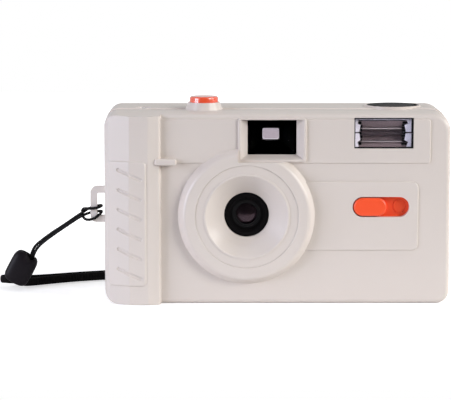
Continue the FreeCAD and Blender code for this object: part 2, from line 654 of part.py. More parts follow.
def middle_cover():
    front_y = FRONT_SEAM_Y + SEAM_GAP
    rear = case_block(0, TOP_STEP_Y, REAR_Y)
    rear = fillet_where(rear, EDGE_ROUND, lambda p: abs(p.y - REAR_Y) < 1e-6)
    step = prism_x([(TOP_STEP_Y, HEIGHT - TOP_STEP), (TOP_STEP_Y + TOP_STEP, HEIGHT), (TOP_STEP_Y, HEIGHT)],
                   LEFT_X, RIGHT_X)
    body = fuse(case_block(0, front_y, TOP_STEP_Y + 1, TOP_STEP), rear.cut(step))
    body = body.cut(case_block(WALL, front_y - 1, INNER_REAR_Y))
    body = body.cut(box(LEFT_X - 1, RIGHT_X + 1, DOOR_SEAM_Y, REAR_Y + 1, SILL_Z, BAND_Z))
    ledge = box(LEFT_X, RIGHT_X, DOOR_SEAM_Y - 1, INNER_REAR_Y + 0.5, BAND_Z, BAND_Z + BAND_LEDGE)
    sill = box(LEFT_X, RIGHT_X, DOOR_SEAM_Y + SLIDING, INNER_REAR_Y + 0.5, WALL - 0.5, SILL_Z)
    inside = case_block(0.3, DOOR_SEAM_Y - 2, REAR_Y - 0.3)
    collar_z = (HEIGHT - WALL, HEIGHT + COLLAR_RISE)
    collar_foot_z = HEIGHT - TOP_STEP
    collar = fuse(rod_z(collar_z[0], collar_foot_z, BUTTON_AT[0], BUTTON_AT[1], COLLAR_R),
                  Part.makeCone(COLLAR_R, COLLAR_TOP_R, collar_z[1] - collar_foot_z,
                                V(BUTTON_AT[0], BUTTON_AT[1], collar_foot_z), V(0, 0, 1)))
    dish_r = DISH_R + DISH_FLOOR
    dish_x, dish_y = CARTRIDGE_AT
    dish = fuse(rod_z(HEIGHT - DISH_DEPTH - DISH_FLOOR, HEIGHT - TOP_STEP, dish_x, dish_y, dish_r),
                rod_z(HEIGHT - DISH_DEPTH, HEIGHT + DISH_LIP_RISE, dish_x, dish_y, DISH_R + DISH_LIP))
    posts = [rod_y(FRONT_SEAM_Y + 2 + SEAT, INNER_REAR_Y + 0.5, x, TOP_SCREW_Z, BOSS_R) for x in TOP_SCREWS_X]
    wall_x = RIGHT_X - WALL
    ribs = [box(wall_x - 1.3, wall_x + 0.1, LATCH_Y[0] - SLIDING - 0.8, LATCH_Y[0] - SLIDING, LATCH_Z[0],
                LATCH_Z[1] + LATCH_TRAVEL),
            box(wall_x - 1.3, wall_x + 0.1, LATCH_Y[1] + SLIDING, LATCH_Y[1] + SLIDING + 0.8, LATCH_Z[0],
                LATCH_Z[1] - LATCH_FINGER - SLIDING),
            box(wall_x - 1.3, wall_x + 0.1, LATCH_Y[0], LATCH_Y[1], LATCH_SPRING_Z, LATCH_SPRING_Z + 0.8)]
    window_ring = rod_z(INNER_TOP_Z - 0.8, HEIGHT - 0.5, DIAL_AT[0], COUNTER_WINDOW_Y, COUNTER_WINDOW_R + 1.0)
    body = fuse(body, ledge.common(inside), sill.common(inside), collar, dish, window_ring, *(posts + ribs))

    slot_x = (SPROCKET_AT[0] - THUMB_SLOT_HALF, SPROCKET_AT[0] + THUMB_SLOT_HALF)
    scoop = loft_y((slot_x[0] - 1.4, slot_x[1] + 1.4, THUMB_Z[0] - 1.6, THUMB_Z[1] + 1.6, REAR_Y + 0.01),
                   (slot_x[0], slot_x[1], THUMB_Z[0] - AIR, THUMB_Z[1] + AIR, INNER_REAR_Y + 0.3))
    door_x = (BATTERY_DOOR_X[0] - SLIDING, BATTERY_DOOR_X[1] + SLIDING)
    door_y = (BATTERY_DOOR_Y[0] - SLIDING, BATTERY_DOOR_Y[1] + SLIDING)
    half = EYEPIECE_WIDTH / 2
    centre = sum(FINDER_WINDOW_X) / 2
    holes = [
        rod_z(INNER_TOP_Z - 1, collar_z[1] + 1, BUTTON_AT[0], BUTTON_AT[1], BUTTON_R + SLIDING),
        rod_z(HEIGHT - DISH_DEPTH, HEIGHT + 1, CARTRIDGE_AT[0], CARTRIDGE_AT[1], DISH_R),
        rod_z(HEIGHT - 6, HEIGHT, CARTRIDGE_AT[0], CARTRIDGE_AT[1], REWIND_SHAFT_R + RUNNING),
        rod_z(INNER_TOP_Z - 2, HEIGHT - 1.0, DIAL_AT[0], COUNTER_WINDOW_Y, COUNTER_WINDOW_R - 0.7),
        rod_z(HEIGHT - 1.0, HEIGHT + 1, DIAL_AT[0], COUNTER_WINDOW_Y, COUNTER_WINDOW_R),
        scoop,
        box(slot_x[0], slot_x[1], DOOR_SEAM_Y, REAR_Y, THUMB_Z[0] - AIR, THUMB_Z[1] + AIR),
        rounded_block(centre - half, centre + half, EYEPIECE_Z - EYEPIECE_HEIGHT / 2,
                      EYEPIECE_Z + EYEPIECE_HEIGHT / 2, 1.2, INNER_REAR_Y - 1, REAR_Y + 1),
        box(door_x[0], door_x[1], door_y[0], door_y[1], -1, WALL + 1),
        rod_y(door_y[0] - 1.4, door_y[1] + 1.4, BATTERY_DOOR_X[0] + BATTERY_DOOR_THICK / 2,
              BATTERY_DOOR_THICK / 2, BATTERY_PIN_R + 0.02),
        rod_z(SILL_Z - 2.0, BAND_Z + 4, HINGE_AT[0], HINGE_AT[1], HINGE_PIN_R + RUNNING),
        box(RIGHT_X - WALL - 0.5, RIGHT_X + 1, LATCH_Y[0] + 1.2 - SLIDING,
            LATCH_Y[0] + 1.2 + LATCH_KNOB[0] + SLIDING, LATCH_Z[0] + 1.5 - SLIDING,
            LATCH_Z[0] + 1.5 + LATCH_KNOB[1] + LATCH_TRAVEL + SLIDING),
        rod_y(REAR_Y - 2.6, REAR_Y + 1, LAMP_AT[0], LAMP_AT[1], LAMP_R + RUNNING),
    ]
    for (x, y), teeth in ((SPOOL_AT, SPOOL_GEAR_TEETH), (SPROCKET_AT, SPROCKET_GEAR_TEETH)):
        room_r = teeth * GEAR_MODULE / 2 + GEAR_MODULE * 0.8 + AIR
        holes.append(rod_z(BAND_Z - 1, BAND_Z + BAND_LEDGE + 0.5, x, y, room_r))
    for x in TOP_SCREWS_X:
        holes.append(rod_y(TOP_SCREW_SEAT_Y, REAR_Y + 1, x, TOP_SCREW_Z, SCREW_HEAD_R + 0.15))
        holes.append(rod_y(FRONT_SEAM_Y, REAR_Y, x, TOP_SCREW_Z, SCREW_R + RUNNING))
    for z in (LUG_Z[0] + LUG_BAR / 2, LUG_Z[1] - LUG_BAR / 2):
        holes.append(rod_x(LEFT_X - 1, LEFT_X + WALL, 0, z, LUG_BAR / 2 - 0.2))
    return cut(body, *holes)


def strap_lug():
    """Loop standing out from the left side on two spigots through the wall."""
    outer = rounded_block(LEFT_X - LUG_OUT, LEFT_X + LUG_ROUND + 1, LUG_Z[0], LUG_Z[1], LUG_ROUND,
                          -LUG_THICK / 2, LUG_THICK / 2)
    outer = outer.cut(box(LEFT_X - SEAT, LEFT_X + 9, -9, 9, 0, HEIGHT))
    inner = rounded_block(LEFT_X - LUG_OUT + LUG_BAR, LEFT_X + 4, LUG_Z[0] + LUG_BAR, LUG_Z[1] - LUG_BAR, 0.7,
                          -LUG_THICK, LUG_THICK)
    body = outer.cut(inner)
    spigots = [rod_x(LEFT_X - 1, LEFT_X + WALL, 0, z, LUG_BAR / 2 - 0.2 - RUNNING)
               for z in (LUG_Z[0] + LUG_BAR / 2, LUG_Z[1] - LUG_BAR / 2)]
    head = box(LEFT_X + WALL, LEFT_X + WALL + LUG_HEAD, -LUG_THICK / 2, LUG_THICK / 2, LUG_Z[0], LUG_Z[1])
    return fuse(body, *(spigots + [head]))


# Chassis

def cartridge_shape(r, z0, z1, rear_y):
    """Half round at the front with straight sides to the rear, as a cartridge slides in."""
    x, y = CARTRIDGE_AT
    return fuse(rod_z(z0, z1, x, y, r), box(x - r, x + r, y, rear_y, z0, z1))


def chassis():
    x, y = CARTRIDGE_AT
    rear = DOOR_SEAM_Y
    well = cartridge_shape(CARTRIDGE_R + CHASSIS_WALL, FLOOR_Z[0], ROOF_Z[1], rear)
    well = well.cut(box(LEFT_X, RIGHT_X, rear, REAR_Y, 0, HEIGHT))
    gate_right = x - CARTRIDGE_R - CHASSIS_WALL + 0.5
    bay_wall_x = GATE_X[0] - CHASSIS_WALL
    plate = box(bay_wall_x, gate_right, FILM_PLANE_Y - 1.2, FILM_PLANE_Y, FLOOR_Z[0], ROOF_Z[1])
    front_wall = box(SHUTTER_PLATE_X[0], CELL_AT[0], CHASSIS_FRONT_Y, CHASSIS_FRONT_Y + CHASSIS_WALL,
                     SHUTTER_PLATE_Z[0], MID_ROOF_Z[1])
    half = CONE_FRONT_R + CHASSIS_WALL
    cone = loft_y((LENS_X - half, LENS_X + half, LENS_Z - half, LENS_Z + half, CHASSIS_FRONT_Y + 0.5),
                  (GATE_X[0] - CHASSIS_WALL, GATE_X[1] + CHASSIS_WALL, GATE_Z[0] - CHASSIS_WALL,
                   GATE_Z[1] + CHASSIS_WALL, FILM_PLANE_Y - 0.6))
    roof = box(bay_wall_x, gate_right, CHASSIS_FRONT_Y, FILM_PLANE_Y, MID_ROOF_Z[0], MID_ROOF_Z[1])
    bay_left = LEFT_X + WALL + LUG_HEAD + AIR
    bay_front = SPOOL_AT[1] - SPOOL_CHAMBER_R - CHASSIS_WALL
    bay = fuse(box(bay_left, bay_wall_x + CHASSIS_WALL, bay_front, rear, FLOOR_Z[0], FLOOR_Z[1]),
               box(bay_left, bay_wall_x + CHASSIS_WALL, bay_front, rear, ROOF_Z[0], ROOF_Z[1]),
               box(bay_left, bay_wall_x + CHASSIS_WALL, bay_front, bay_front + CHASSIS_WALL, FLOOR_Z[0],
                   ROOF_Z[1]),
               box(bay_wall_x, bay_wall_x + CHASSIS_WALL, bay_front, rear, FLOOR_Z[0], ROOF_Z[1]))
    corner = (HINGE_R + AIR * 2) * 1.5
    bay = bay.cut(box(LEFT_X, HINGE_AT[0] + corner, HINGE_AT[1] - corner, REAR_Y, 0, HEIGHT))
    rails = [box(bay_wall_x, gate_right - 0.5, FILM_PLANE_Y - 0.2, FILM_PLANE_Y + RAIL_RISE, z, z + RAIL_WIDTH)
             for z in (GATE_Z[0] - RAIL_WIDTH - 1.6, GATE_Z[1] + 1.6)]
    cell_r = CELL_R + CELL_BAY_GAP
    cell_tube = rod_z(FLOOR_Z[0], MID_ROOF_Z[1], CELL_AT[0], CELL_AT[1], cell_r + CELL_BAY_WALL)
    link = box(CELL_AT[0] + 3, x - CARTRIDGE_R + 2, CELL_AT[1], CELL_AT[1] + CHASSIS_WALL * 2,
               MID_ROOF_Z[0], MID_ROOF_Z[1])
    low_posts = [rod_y(CHASSIS_FRONT_Y, FILM_PLANE_Y - 0.5, sx, LOW_SCREW_Z, SCREW_HEAD_R + 1.1)
                 for sx in LOW_SCREWS_X]
    dial_post = rod_z(ROOF_Z[1] - 0.2, DIAL_Z[0] + DIAL_THICK + 0.2, DIAL_AT[0], DIAL_AT[1], DIAL_POST_R)
    dial_foot = box(DIAL_AT[0] - 2.2, DIAL_AT[0] + 2.2, DIAL_AT[1] - 2.2, bay_front + 1, ROOF_Z[0], ROOF_Z[1])
    dial_shoulder = rod_z(ROOF_Z[1] - 0.2, DIAL_Z[0] - RUNNING, DIAL_AT[0], DIAL_AT[1], DIAL_POST_R + 0.9)
    seat_r = BUTTON_STEM_R + 0.2 + SPRING_WIRE * 1.5
    tower_x = BUTTON_AT[0] + seat_r
    tower = box(tower_x, tower_x + CHASSIS_WALL, BUTTON_AT[1] - seat_r, BUTTON_AT[1] + seat_r,
                MID_ROOF_Z[0], BUTTON_SEAT_Z)
    tower_top = box(BUTTON_AT[0] - seat_r, tower_x + 0.5, BUTTON_AT[1] - seat_r, BUTTON_AT[1] + seat_r,
                    BUTTON_SEAT_Z - 0.8, BUTTON_SEAT_Z)
    cradle_top = max(SHUTTER_PLATE_Z[0], CAPACITOR_Z + CAPACITOR_R) + CHASSIS_WALL
    cradles_x = (CAPACITOR_X + CRADLE_INSET, CAPACITOR_X + CAPACITOR_LENGTH - CRADLE_INSET - CRADLE_WIDTH)
    cradles = [box(x, x + CRADLE_WIDTH, CHASSIS_FRONT_Y + 0.2, CAPACITOR_Y + CAPACITOR_R, CAPACITOR_Z,
                   cradle_top) for x in cradles_x]
    body = fuse(well, plate, front_wall, cone, roof, bay, cell_tube, link, dial_foot, dial_shoulder,
                dial_post, tower, tower_top, *(rails + low_posts + cradles))

    light = loft_y((LENS_X - CONE_FRONT_R, LENS_X + CONE_FRONT_R, LENS_Z - CONE_FRONT_R, LENS_Z + CONE_FRONT_R,
                    CHASSIS_FRONT_Y + CHASSIS_WALL),
                   (GATE_X[0], GATE_X[1], GATE_Z[0], GATE_Z[1], FILM_PLANE_Y + 0.01))
    holes = [
        light,
        rod_y(CHASSIS_FRONT_Y - 1, CHASSIS_FRONT_Y + 3, LENS_X, LENS_Z, SHUTTER_HOLE_R + 0.6),
        cartridge_shape(CARTRIDGE_R, CARTRIDGE_Z[0], CARTRIDGE_Z[1], REAR_Y),
        rod_z(FLOOR_Z[0] - 1, FLOOR_Z[1] + 1, x, y, 6.2),
        rod_z(ROOF_Z[0] - 1, ROOF_Z[1] + 1, x, y, FORK_R + SLIDING),
        rod_z(FLOOR_Z[0] - 1, ROOF_Z[1] + 1, SPOOL_AT[0], SPOOL_AT[1], SPOOL_SHAFT_R + RUNNING),
        rod_z(FLOOR_Z[0] - 1, ROOF_Z[1] + 1, SPROCKET_AT[0], SPROCKET_AT[1], SPROCKET_SHAFT_R + RUNNING),
        rod_z(FLOOR_Z[0] - 1, MID_ROOF_Z[0], CELL_AT[0], CELL_AT[1], cell_r),
        rod_z(MID_ROOF_Z[0] - 3, BUTTON_SEAT_Z + 1, BUTTON_AT[0], BUTTON_AT[1], BUTTON_STEM_R + RUNNING),
        rod_x(CAPACITOR_X - SEAT, CAPACITOR_X + CAPACITOR_LENGTH + SEAT, CAPACITOR_Y, CAPACITOR_Z,
              CAPACITOR_R + SEAT),
    ]
    for sx in LOW_SCREWS_X:
        holes.append(rod_y(CHASSIS_FRONT_Y - 1, FILM_PLANE_Y, sx, LOW_SCREW_Z, SCREW_R + RUNNING))
        holes.append(rod_y(CHASSIS_FRONT_Y + LOW_SCREW_SEAT, FILM_PLANE_Y + 1, sx, LOW_SCREW_Z,
                           SCREW_HEAD_R + 0.15))
    return cut(body, *holes)


# Back door

def back_door():
    front_y = DOOR_SEAM_Y + DOOR_GAP
    body = case_block(0, front_y, REAR_Y)
    body = fillet_where(body, EDGE_ROUND, lambda p: abs(p.y - REAR_Y) < 1e-6)
    body = body.common(box(LEFT_X - 1, RIGHT_X + 1, front_y - 1, REAR_Y + 1, DOOR_Z[0], DOOR_Z[1]))
    knuckle = rod_z(DOOR_Z[0], DOOR_Z[1], HINGE_AT[0], HINGE_AT[1], HINGE_R).common(
        case_block(0, front_y - 2, REAR_Y))
    body = body.cut(box(LEFT_X - 1, HINGE_AT[0], front_y - 1, REAR_Y + 1, 0, HEIGHT))
    inner = box(HINGE_AT[0] - 0.5, RIGHT_X - DOOR_WALL, front_y - 1, DOOR_INNER_Y,
                DOOR_Z[0] + DOOR_END, DOOR_Z[1] - DOOR_END)
    body = fuse(body.cut(inner), knuckle)
    studs = [rod_y(FILM_PLANE_Y + RAIL_RISE + FILM_ROOM + PRESSURE_THICK - 0.4, DOOR_INNER_Y + 0.3,
                   LENS_X + sx * PRESSURE_PLATE[0] * 0.4, LENS_Z, 1.0) for sx in (-1, 1)]
    body = fuse(body, *studs)
    catch = box(RIGHT_X - DOOR_WALL - 1.6, RIGHT_X - DOOR_WALL + 0.1, DOOR_SEAM_Y + 2.4, DOOR_INNER_Y + 0.2,
                LATCH_Z[1] + 1.0, LATCH_Z[1] + 4.0)
    body = body.fuse(catch)
    window = rounded_block(DOOR_WINDOW_X[0], DOOR_WINDOW_X[1], DOOR_WINDOW_Z[0], DOOR_WINDOW_Z[1], 1.5,
                           DOOR_INNER_Y - 1, REAR_Y + 1)
    rebate = rounded_block(DOOR_WINDOW_X[0] - 1.0, DOOR_WINDOW_X[1] + 1.0, DOOR_WINDOW_Z[0] - 1.0,
                           DOOR_WINDOW_Z[1] + 1.0, 2.5, REAR_Y - DOOR_WINDOW_THICK * 0.7, REAR_Y + 1)
    pull = rounded_block(RIGHT_X - 9.0, RIGHT_X - 6.6, 20.0, 38.0, 1.1, REAR_Y - 0.6, REAR_Y + 1)
    return cut(body, window, rebate, pull, rod_z(0, HEIGHT, HINGE_AT[0], HINGE_AT[1], HINGE_PIN_R + RUNNING))


def door_window():
    return rounded_block(DOOR_WINDOW_X[0] - 1.0 + SEAT, DOOR_WINDOW_X[1] + 1.0 - SEAT,
                         DOOR_WINDOW_Z[0] - 1.0 + SEAT, DOOR_WINDOW_Z[1] + 1.0 - SEAT, 2.4,
                         REAR_Y - DOOR_WINDOW_THICK * 0.7 + 0.01, REAR_Y - 0.1)


def window_seal():
    """Foam frame round the window on the inside of the door."""
    outer = box(DOOR_WINDOW_X[0] - SEAL_WIDTH - 0.3, DOOR_WINDOW_X[1] + SEAL_WIDTH + 0.3,
                DOOR_INNER_Y - SEAL_THICK, DOOR_INNER_Y,
                DOOR_WINDOW_Z[0] - SEAL_WIDTH - 0.3, DOOR_WINDOW_Z[1] + SEAL_WIDTH + 0.3)
    inner = box(DOOR_WINDOW_X[0] - 0.3, DOOR_WINDOW_X[1] + 0.3, DOOR_INNER_Y - 2, DOOR_INNER_Y + 1,
                DOOR_WINDOW_Z[0] - 0.3, DOOR_WINDOW_Z[1] + 0.3)
    return outer.cut(inner)


def door_light_seal():
    """Foam strip on the inside of the door along its hinge."""
    x = HINGE_AT[0] + HINGE_R + 0.6
    return box(x, x + SEAL_WIDTH, DOOR_INNER_Y - SEAL_THICK, DOOR_INNER_Y,
               DOOR_Z[0] + DOOR_END + 0.1, DOOR_Z[1] - DOOR_END - 0.1)


def hinge_pin():
    return rod_z(SILL_Z - 1.9, BAND_Z + BAND_LEDGE, HINGE_AT[0], HINGE_AT[1], HINGE_PIN_R)


def pressure_plate():
    y0 = FILM_PLANE_Y + RAIL_RISE + FILM_ROOM
    half_x = PRESSURE_PLATE[0] / 2
    half_z = PRESSURE_PLATE[1] / 2
    plate = rounded_block(LENS_X - half_x, LENS_X + half_x, LENS_Z - half_z, LENS_Z + half_z, 2.0,
                          y0, y0 + PRESSURE_THICK)
    holes = [rod_y(y0 + PRESSURE_THICK - 0.5, y0 + 5, LENS_X + side * PRESSURE_PLATE[0] * 0.4, LENS_Z,
                   1.0 + SLIDING) for side in (-1, 1)]
    return cut(plate, *holes)


def pressure_spring():
    """Bowed leaf between the door and the pressure plate."""
    y0 = FILM_PLANE_Y + RAIL_RISE + FILM_ROOM + PRESSURE_THICK + 0.02
    y1 = DOOR_INNER_Y - 0.02
    sheet = 0.25
    reach = PRESSURE_PLATE[0] * 0.32
    outline = [(-reach, y0 + sheet), (-reach, y0), (-reach + 2, y0), (-3, y1 - sheet), (3, y1 - sheet),
               (reach - 2, y0), (reach, y0), (reach, y0 + sheet), (reach - 1.7, y0 + sheet), (3.3, y1),
               (-3.3, y1), (-reach + 1.7, y0 + sheet)]
    return prism_z([(LENS_X + x, y) for x, y in outline], LENS_Z - 4.5, LENS_Z + 4.5)


def door_latch():
    """Sliding catch inside the right side wall, with its grip flush in a slot."""
    x1 = RIGHT_X - WALL - SEAT
    plate = box(x1 - 0.9, x1, LATCH_Y[0], LATCH_Y[1], LATCH_Z[0], LATCH_Z[1])
    y0 = LATCH_Y[0] + 1.2
    z0 = LATCH_Z[0] + 1.5
    knob = box(x1 - 0.2, RIGHT_X - 0.1, y0, y0 + LATCH_KNOB[0], z0, z0 + LATCH_KNOB[1])
    ribs = [box(RIGHT_X - 0.5, RIGHT_X + 1, y0 - 1, y0 + LATCH_KNOB[0] + 1, z0 + 0.8 + i * 1.2,
                z0 + 1.3 + i * 1.2) for i in range(3)]
    finger = box(x1 - 0.9, x1, LATCH_Y[1] - 1, DOOR_SEAM_Y + 2.1, LATCH_Z[1] - LATCH_FINGER, LATCH_Z[1])
    return cut(fuse(plate, knob, finger), *ribs)


def latch_spring():
    """Bent wire that returns the latch, standing on the plate's top edge."""
    x = RIGHT_X - WALL - SEAT - 0.45
    y = (LATCH_Y[0] + LATCH_Y[1]) / 2
    foot = LATCH_Z[1] + 0.1
    step = (LATCH_SPRING_Z - 0.1 - foot) / 3
    points = [V(x, y - 1.6 if i % 2 == 0 else y + 1.6, foot + i * step) for i in range(4)]
    ends = [V(x, y - 1.6, foot - 2), V(x, y + 1.6, LATCH_SPRING_Z + 2)]
    wire = tube_along([ends[0]] + points + [ends[1]], SPRING_WIRE / 2)[0]
    return wire.common(box(x - 1, x + 1, y - 4, y + 4, foot, LATCH_SPRING_Z - 0.1))


# Runs of wire and cord

def rounded_path(points, share=0.45):
    """Straight runs joined by tangent arcs, with the list of arc radii."""
    edges = []
    radii = []
    here = points[0]
    for before, at, after in zip(points, points[1:], points[2:]):
        back = before - at
        ahead = after - at
        run = min(back.Length, ahead.Length)
        back.normalize()
        ahead.normalize()
        half = math.acos(max(-1.0, min(1.0, back.dot(ahead)))) / 2
        reach = share * run
        start = at + back * reach
        end = at + ahead * reach
        radius = reach * math.tan(half)
        middle_dir = back + ahead
        middle_dir.normalize()
        centre = at + middle_dir * (radius / math.sin(half))
        middle = centre - middle_dir * radius
        edges.append(Part.LineSegment(here, start).toShape())
        edges.append(Part.Arc(start, middle, end).toShape())
        radii.append(radius)
        here = end
    edges.append(Part.LineSegment(here, points[-1]).toShape())
    return Part.Wire(edges), radii


def tube_along(points, r):
    path, radii = rounded_path(points)
    start = points[1] - points[0]
    section = Part.Wire(Part.makeCircle(r, points[0], start))
    return path.makePipeShell([section], True, False), path, radii


def band_along(points, thick, tall):
    """Flat band standing on its edge along the path."""
    path, radii = rounded_path(points)
    run = points[1] - points[0]
    run.normalize()
    side = run.cross(V(0, 0, 1))
    side.normalize()
    up = V(0, 0, 1) * (tall / 2)
    side = side * (thick / 2)
    corners = [points[0] + side + up, points[0] + side - up, points[0] - side - up, points[0] - side + up]
    section = Part.makePolygon(corners + [corners[0]])
    shell = Part.BRepOffsetAPI.MakePipeShell(path)
    shell.setBiNormalMode(V(0, 0, 1))
    shell.add(section)
    shell.build()
    shell.makeSolid()
    return shell.shape(), path, radii


# Lens and shutter

def lens_bezel():
    """Ring and cone round the barrel, with a rounded lip at its groove and at its mouth."""
    back = FRONT_Y - 0.02
    front = BOSS_FRONT_Y + BEZEL_INSET
    outer = BEZEL_R - BEZEL_GAP
    bore = BARREL_R + AIR
    sleeve = BEZEL_HOLE_R - AIR
    slope = (BARREL_Y - BOSS_FRONT_Y) / (CONE_MOUTH_R - bore)
    sleeve_rear = BARREL_Y - slope * (sleeve - bore) + CONE_WALL
    profile = [(outer, front), (CONE_MOUTH_R + CONE_LIP, front), (CONE_MOUTH_R + CONE_LIP, BOSS_FRONT_Y),
               (CONE_MOUTH_R, BOSS_FRONT_Y), (bore, BARREL_Y), (bore, BARREL_Y + CONE_WALL),
               (sleeve, sleeve_rear), (sleeve, back), (outer, back)]
    body = revolve_y(profile, LENS_X, LENS_Z)
    return fillet_where(body, LIP_ROUND, lambda p: abs(p.y - BOSS_FRONT_Y) < 1e-6)


def lens_barrel():
    """Stepped black barrel with a flange and three legs that stand on the shutter plate."""
    inner = GLASS_R + 0.9
    profile = [(BARREL_R, BARREL_Y)]
    r = BARREL_R - 1.3
    y = BARREL_Y
    for i in range(BARREL_STEPS):
        profile += [(r, y), (r - 0.1, y + BARREL_STEP)]
        y += BARREL_STEP
        r -= (BARREL_R - 1.3 - inner) / BARREL_STEPS
    profile += [(inner, y), (inner, y + GLASS_THICK + 1.2), (GLASS_R - 0.9, y + GLASS_THICK + 1.2),
                (GLASS_R - 0.9, BARREL_REAR_Y - 0.4), (GLASS_R + 1.0, BARREL_REAR_Y - 0.4),
                (GLASS_R + 1.0, BARREL_REAR_Y), (BARREL_R, BARREL_REAR_Y)]
    body = revolve_y(profile, LENS_X, LENS_Z)
    flange_r = BARREL_R + 2.4
    flange = cut(rod_y(BARREL_REAR_Y - 3.0, BARREL_REAR_Y - 2.0, LENS_X, LENS_Z, flange_r),
                 rod_y(BARREL_REAR_Y - 4.0, BARREL_REAR_Y, LENS_X, LENS_Z, BARREL_R - 0.5))
    legs = []
    for angle in (90, 35, -35):
        x = LENS_X + (flange_r - 1.2) * math.cos(math.radians(angle))
        z = LENS_Z + (flange_r - 1.2) * math.sin(math.radians(angle))
        legs.append(rod_y(BARREL_REAR_Y - 2.5, SHUTTER_Y, x, z, 0.8))
    return fuse(body, flange, *legs)


LENS_SEAT_Y = BARREL_Y + BARREL_STEP * BARREL_STEPS + GLASS_THICK + 1.2


def taking_lens():
    """Meniscus, its front face bulging towards the subject."""
    rear = LENS_SEAT_Y - 0.02
    front = rear - GLASS_THICK
    bulge = Part.makeSphere(GLASS_R * 2.2, V(LENS_X, front - 0.35 + GLASS_R * 2.2, LENS_Z))
    body = rod_y(front - 0.5, rear, LENS_X, LENS_Z, GLASS_R).common(bulge)
    hollow = Part.makeSphere(GLASS_R * 3.0, V(LENS_X, rear - 0.5 + GLASS_R * 3.0, LENS_Z))
    return body.cut(hollow.common(rod_y(rear - 1, rear + 1, LENS_X, LENS_Z, GLASS_R - 0.7)))


def lens_retainer():
    rear = LENS_SEAT_Y - 0.04 - GLASS_THICK + 0.45
    inner = GLASS_R + 0.9
    profile = [(inner - 0.05, rear - 1.0), (GLASS_R - 0.6, rear - 0.7), (GLASS_R - 0.6, rear - 0.25),
               (GLASS_R + 0.06, rear), (GLASS_R + 0.06, LENS_SEAT_Y - 0.1), (inner - 0.05, LENS_SEAT_Y - 0.1)]
    return revolve_y(profile, LENS_X, LENS_Z)


def aperture_disc():
    y = BARREL_REAR_Y - 0.4 + 0.02
    disc = rod_y(y, y + SHEET, LENS_X, LENS_Z, GLASS_R + 0.95)
    return disc.cut(rod_y(y - 1, y + 1, LENS_X, LENS_Z, APERTURE_R))


BLADE_Y = (SHUTTER_Y - 0.15 - SHEET, SHUTTER_Y - 0.15)
LEVER_Y = (SHUTTER_Y - 0.15 - LEVER_THICK, SHUTTER_Y - 0.15)


def shutter_plate():
    plate = box(SHUTTER_PLATE_X[0], SHUTTER_PLATE_X[1], SHUTTER_Y, SHUTTER_Y + SHUTTER_PLATE_THICK,
                SHUTTER_PLATE_Z[0], MID_ROOF_Z[1])
    ear = box(LEVER_PIVOT[0] - 2.6, LEVER_PIVOT[0] + 2.6, SHUTTER_Y, SHUTTER_Y + SHUTTER_PLATE_THICK,
              MID_ROOF_Z[1] - 1, SHUTTER_PLATE_Z[1])
    posts = [rod_y(SHUTTER_Y - 2.0, SHUTTER_Y + 0.2, x, z, POST_R) for x, z in (BLADE_PIVOT, LEVER_PIVOT)]
    body = fuse(plate, ear, *posts)
    holes = [rod_y(SHUTTER_Y - 1, SHUTTER_Y + 2, LENS_X, LENS_Z, SHUTTER_HOLE_R)]
    holes += [rod_y(SHUTTER_Y - 1, SHUTTER_Y + 2, x, z, PLATE_SCREW_R + RUNNING) for x, z in PLATE_SCREWS]
    return cut(body, *holes)


PLATE_SCREW_INSET = 2.5
PLATE_SCREWS = ((SHUTTER_PLATE_X[1] - PLATE_SCREW_INSET, MID_ROOF_Z[0] - PLATE_SCREW_INSET),
                (SHUTTER_PLATE_X[1] - PLATE_SCREW_INSET, SHUTTER_PLATE_Z[0] + PLATE_SCREW_INSET),
                (SHUTTER_PLATE_X[0] + PLATE_SCREW_INSET, SHUTTER_PLATE_Z[0] + PLATE_SCREW_INSET))


def shutter_screws():
    """Three small screws from the front into the chassis wall."""
    screws = []
    for x, z in PLATE_SCREWS:
        shank = rod_y(SHUTTER_Y, CHASSIS_FRONT_Y - 0.02, x, z, PLATE_SCREW_R)
        head = rod_y(SHUTTER_Y - 0.02 - 0.6, SHUTTER_Y - 0.02, x, z, PLATE_SCREW_HEAD_R)
        bridge = rod_y(SHUTTER_Y - 0.05, SHUTTER_Y + 0.05, x, z, PLATE_SCREW_R)
        slot = box(x - 2, x + 2, SHUTTER_Y - 1.2, SHUTTER_Y - 0.4, z - 0.15, z + 0.15)
        screws.append(fuse(shank, head, bridge).cut(slot))
    return Part.makeCompound(screws)


def shutter_blade():
    x, z = BLADE_PIVOT
    y0, y1 = BLADE_Y
    tail = box(x - 0.4, x + 1.2, y0, y1, z, z + BLADE_TAIL)
    arm = box(x, LENS_X, y0, y1, z - 1.3, z + 1.3)
    body = fuse(rod_y(y0, y1, LENS_X, LENS_Z, BLADE_R), arm, rod_y(y0, y1, x, z, HUB_R), tail)
    return body.cut(rod_y(y0 - 1, y1 + 1, x, z, POST_R + RUNNING))


def shutter_spring():
    """Sleeve of close turns round the blade's post."""
    x, z = BLADE_PIVOT
    y1 = BLADE_Y[0] - 0.15
    ring = cut(rod_y(y1 - 1.2, y1, x, z, HUB_R - 0.2), rod_y(y1 - 2, y1 + 1, x, z, POST_R + RUNNING))
    leg = rod_x(x - 5.2, x - HUB_R + 0.4, y1 - 0.5, z, SPRING_WIRE / 2)
    return fuse(ring, leg)


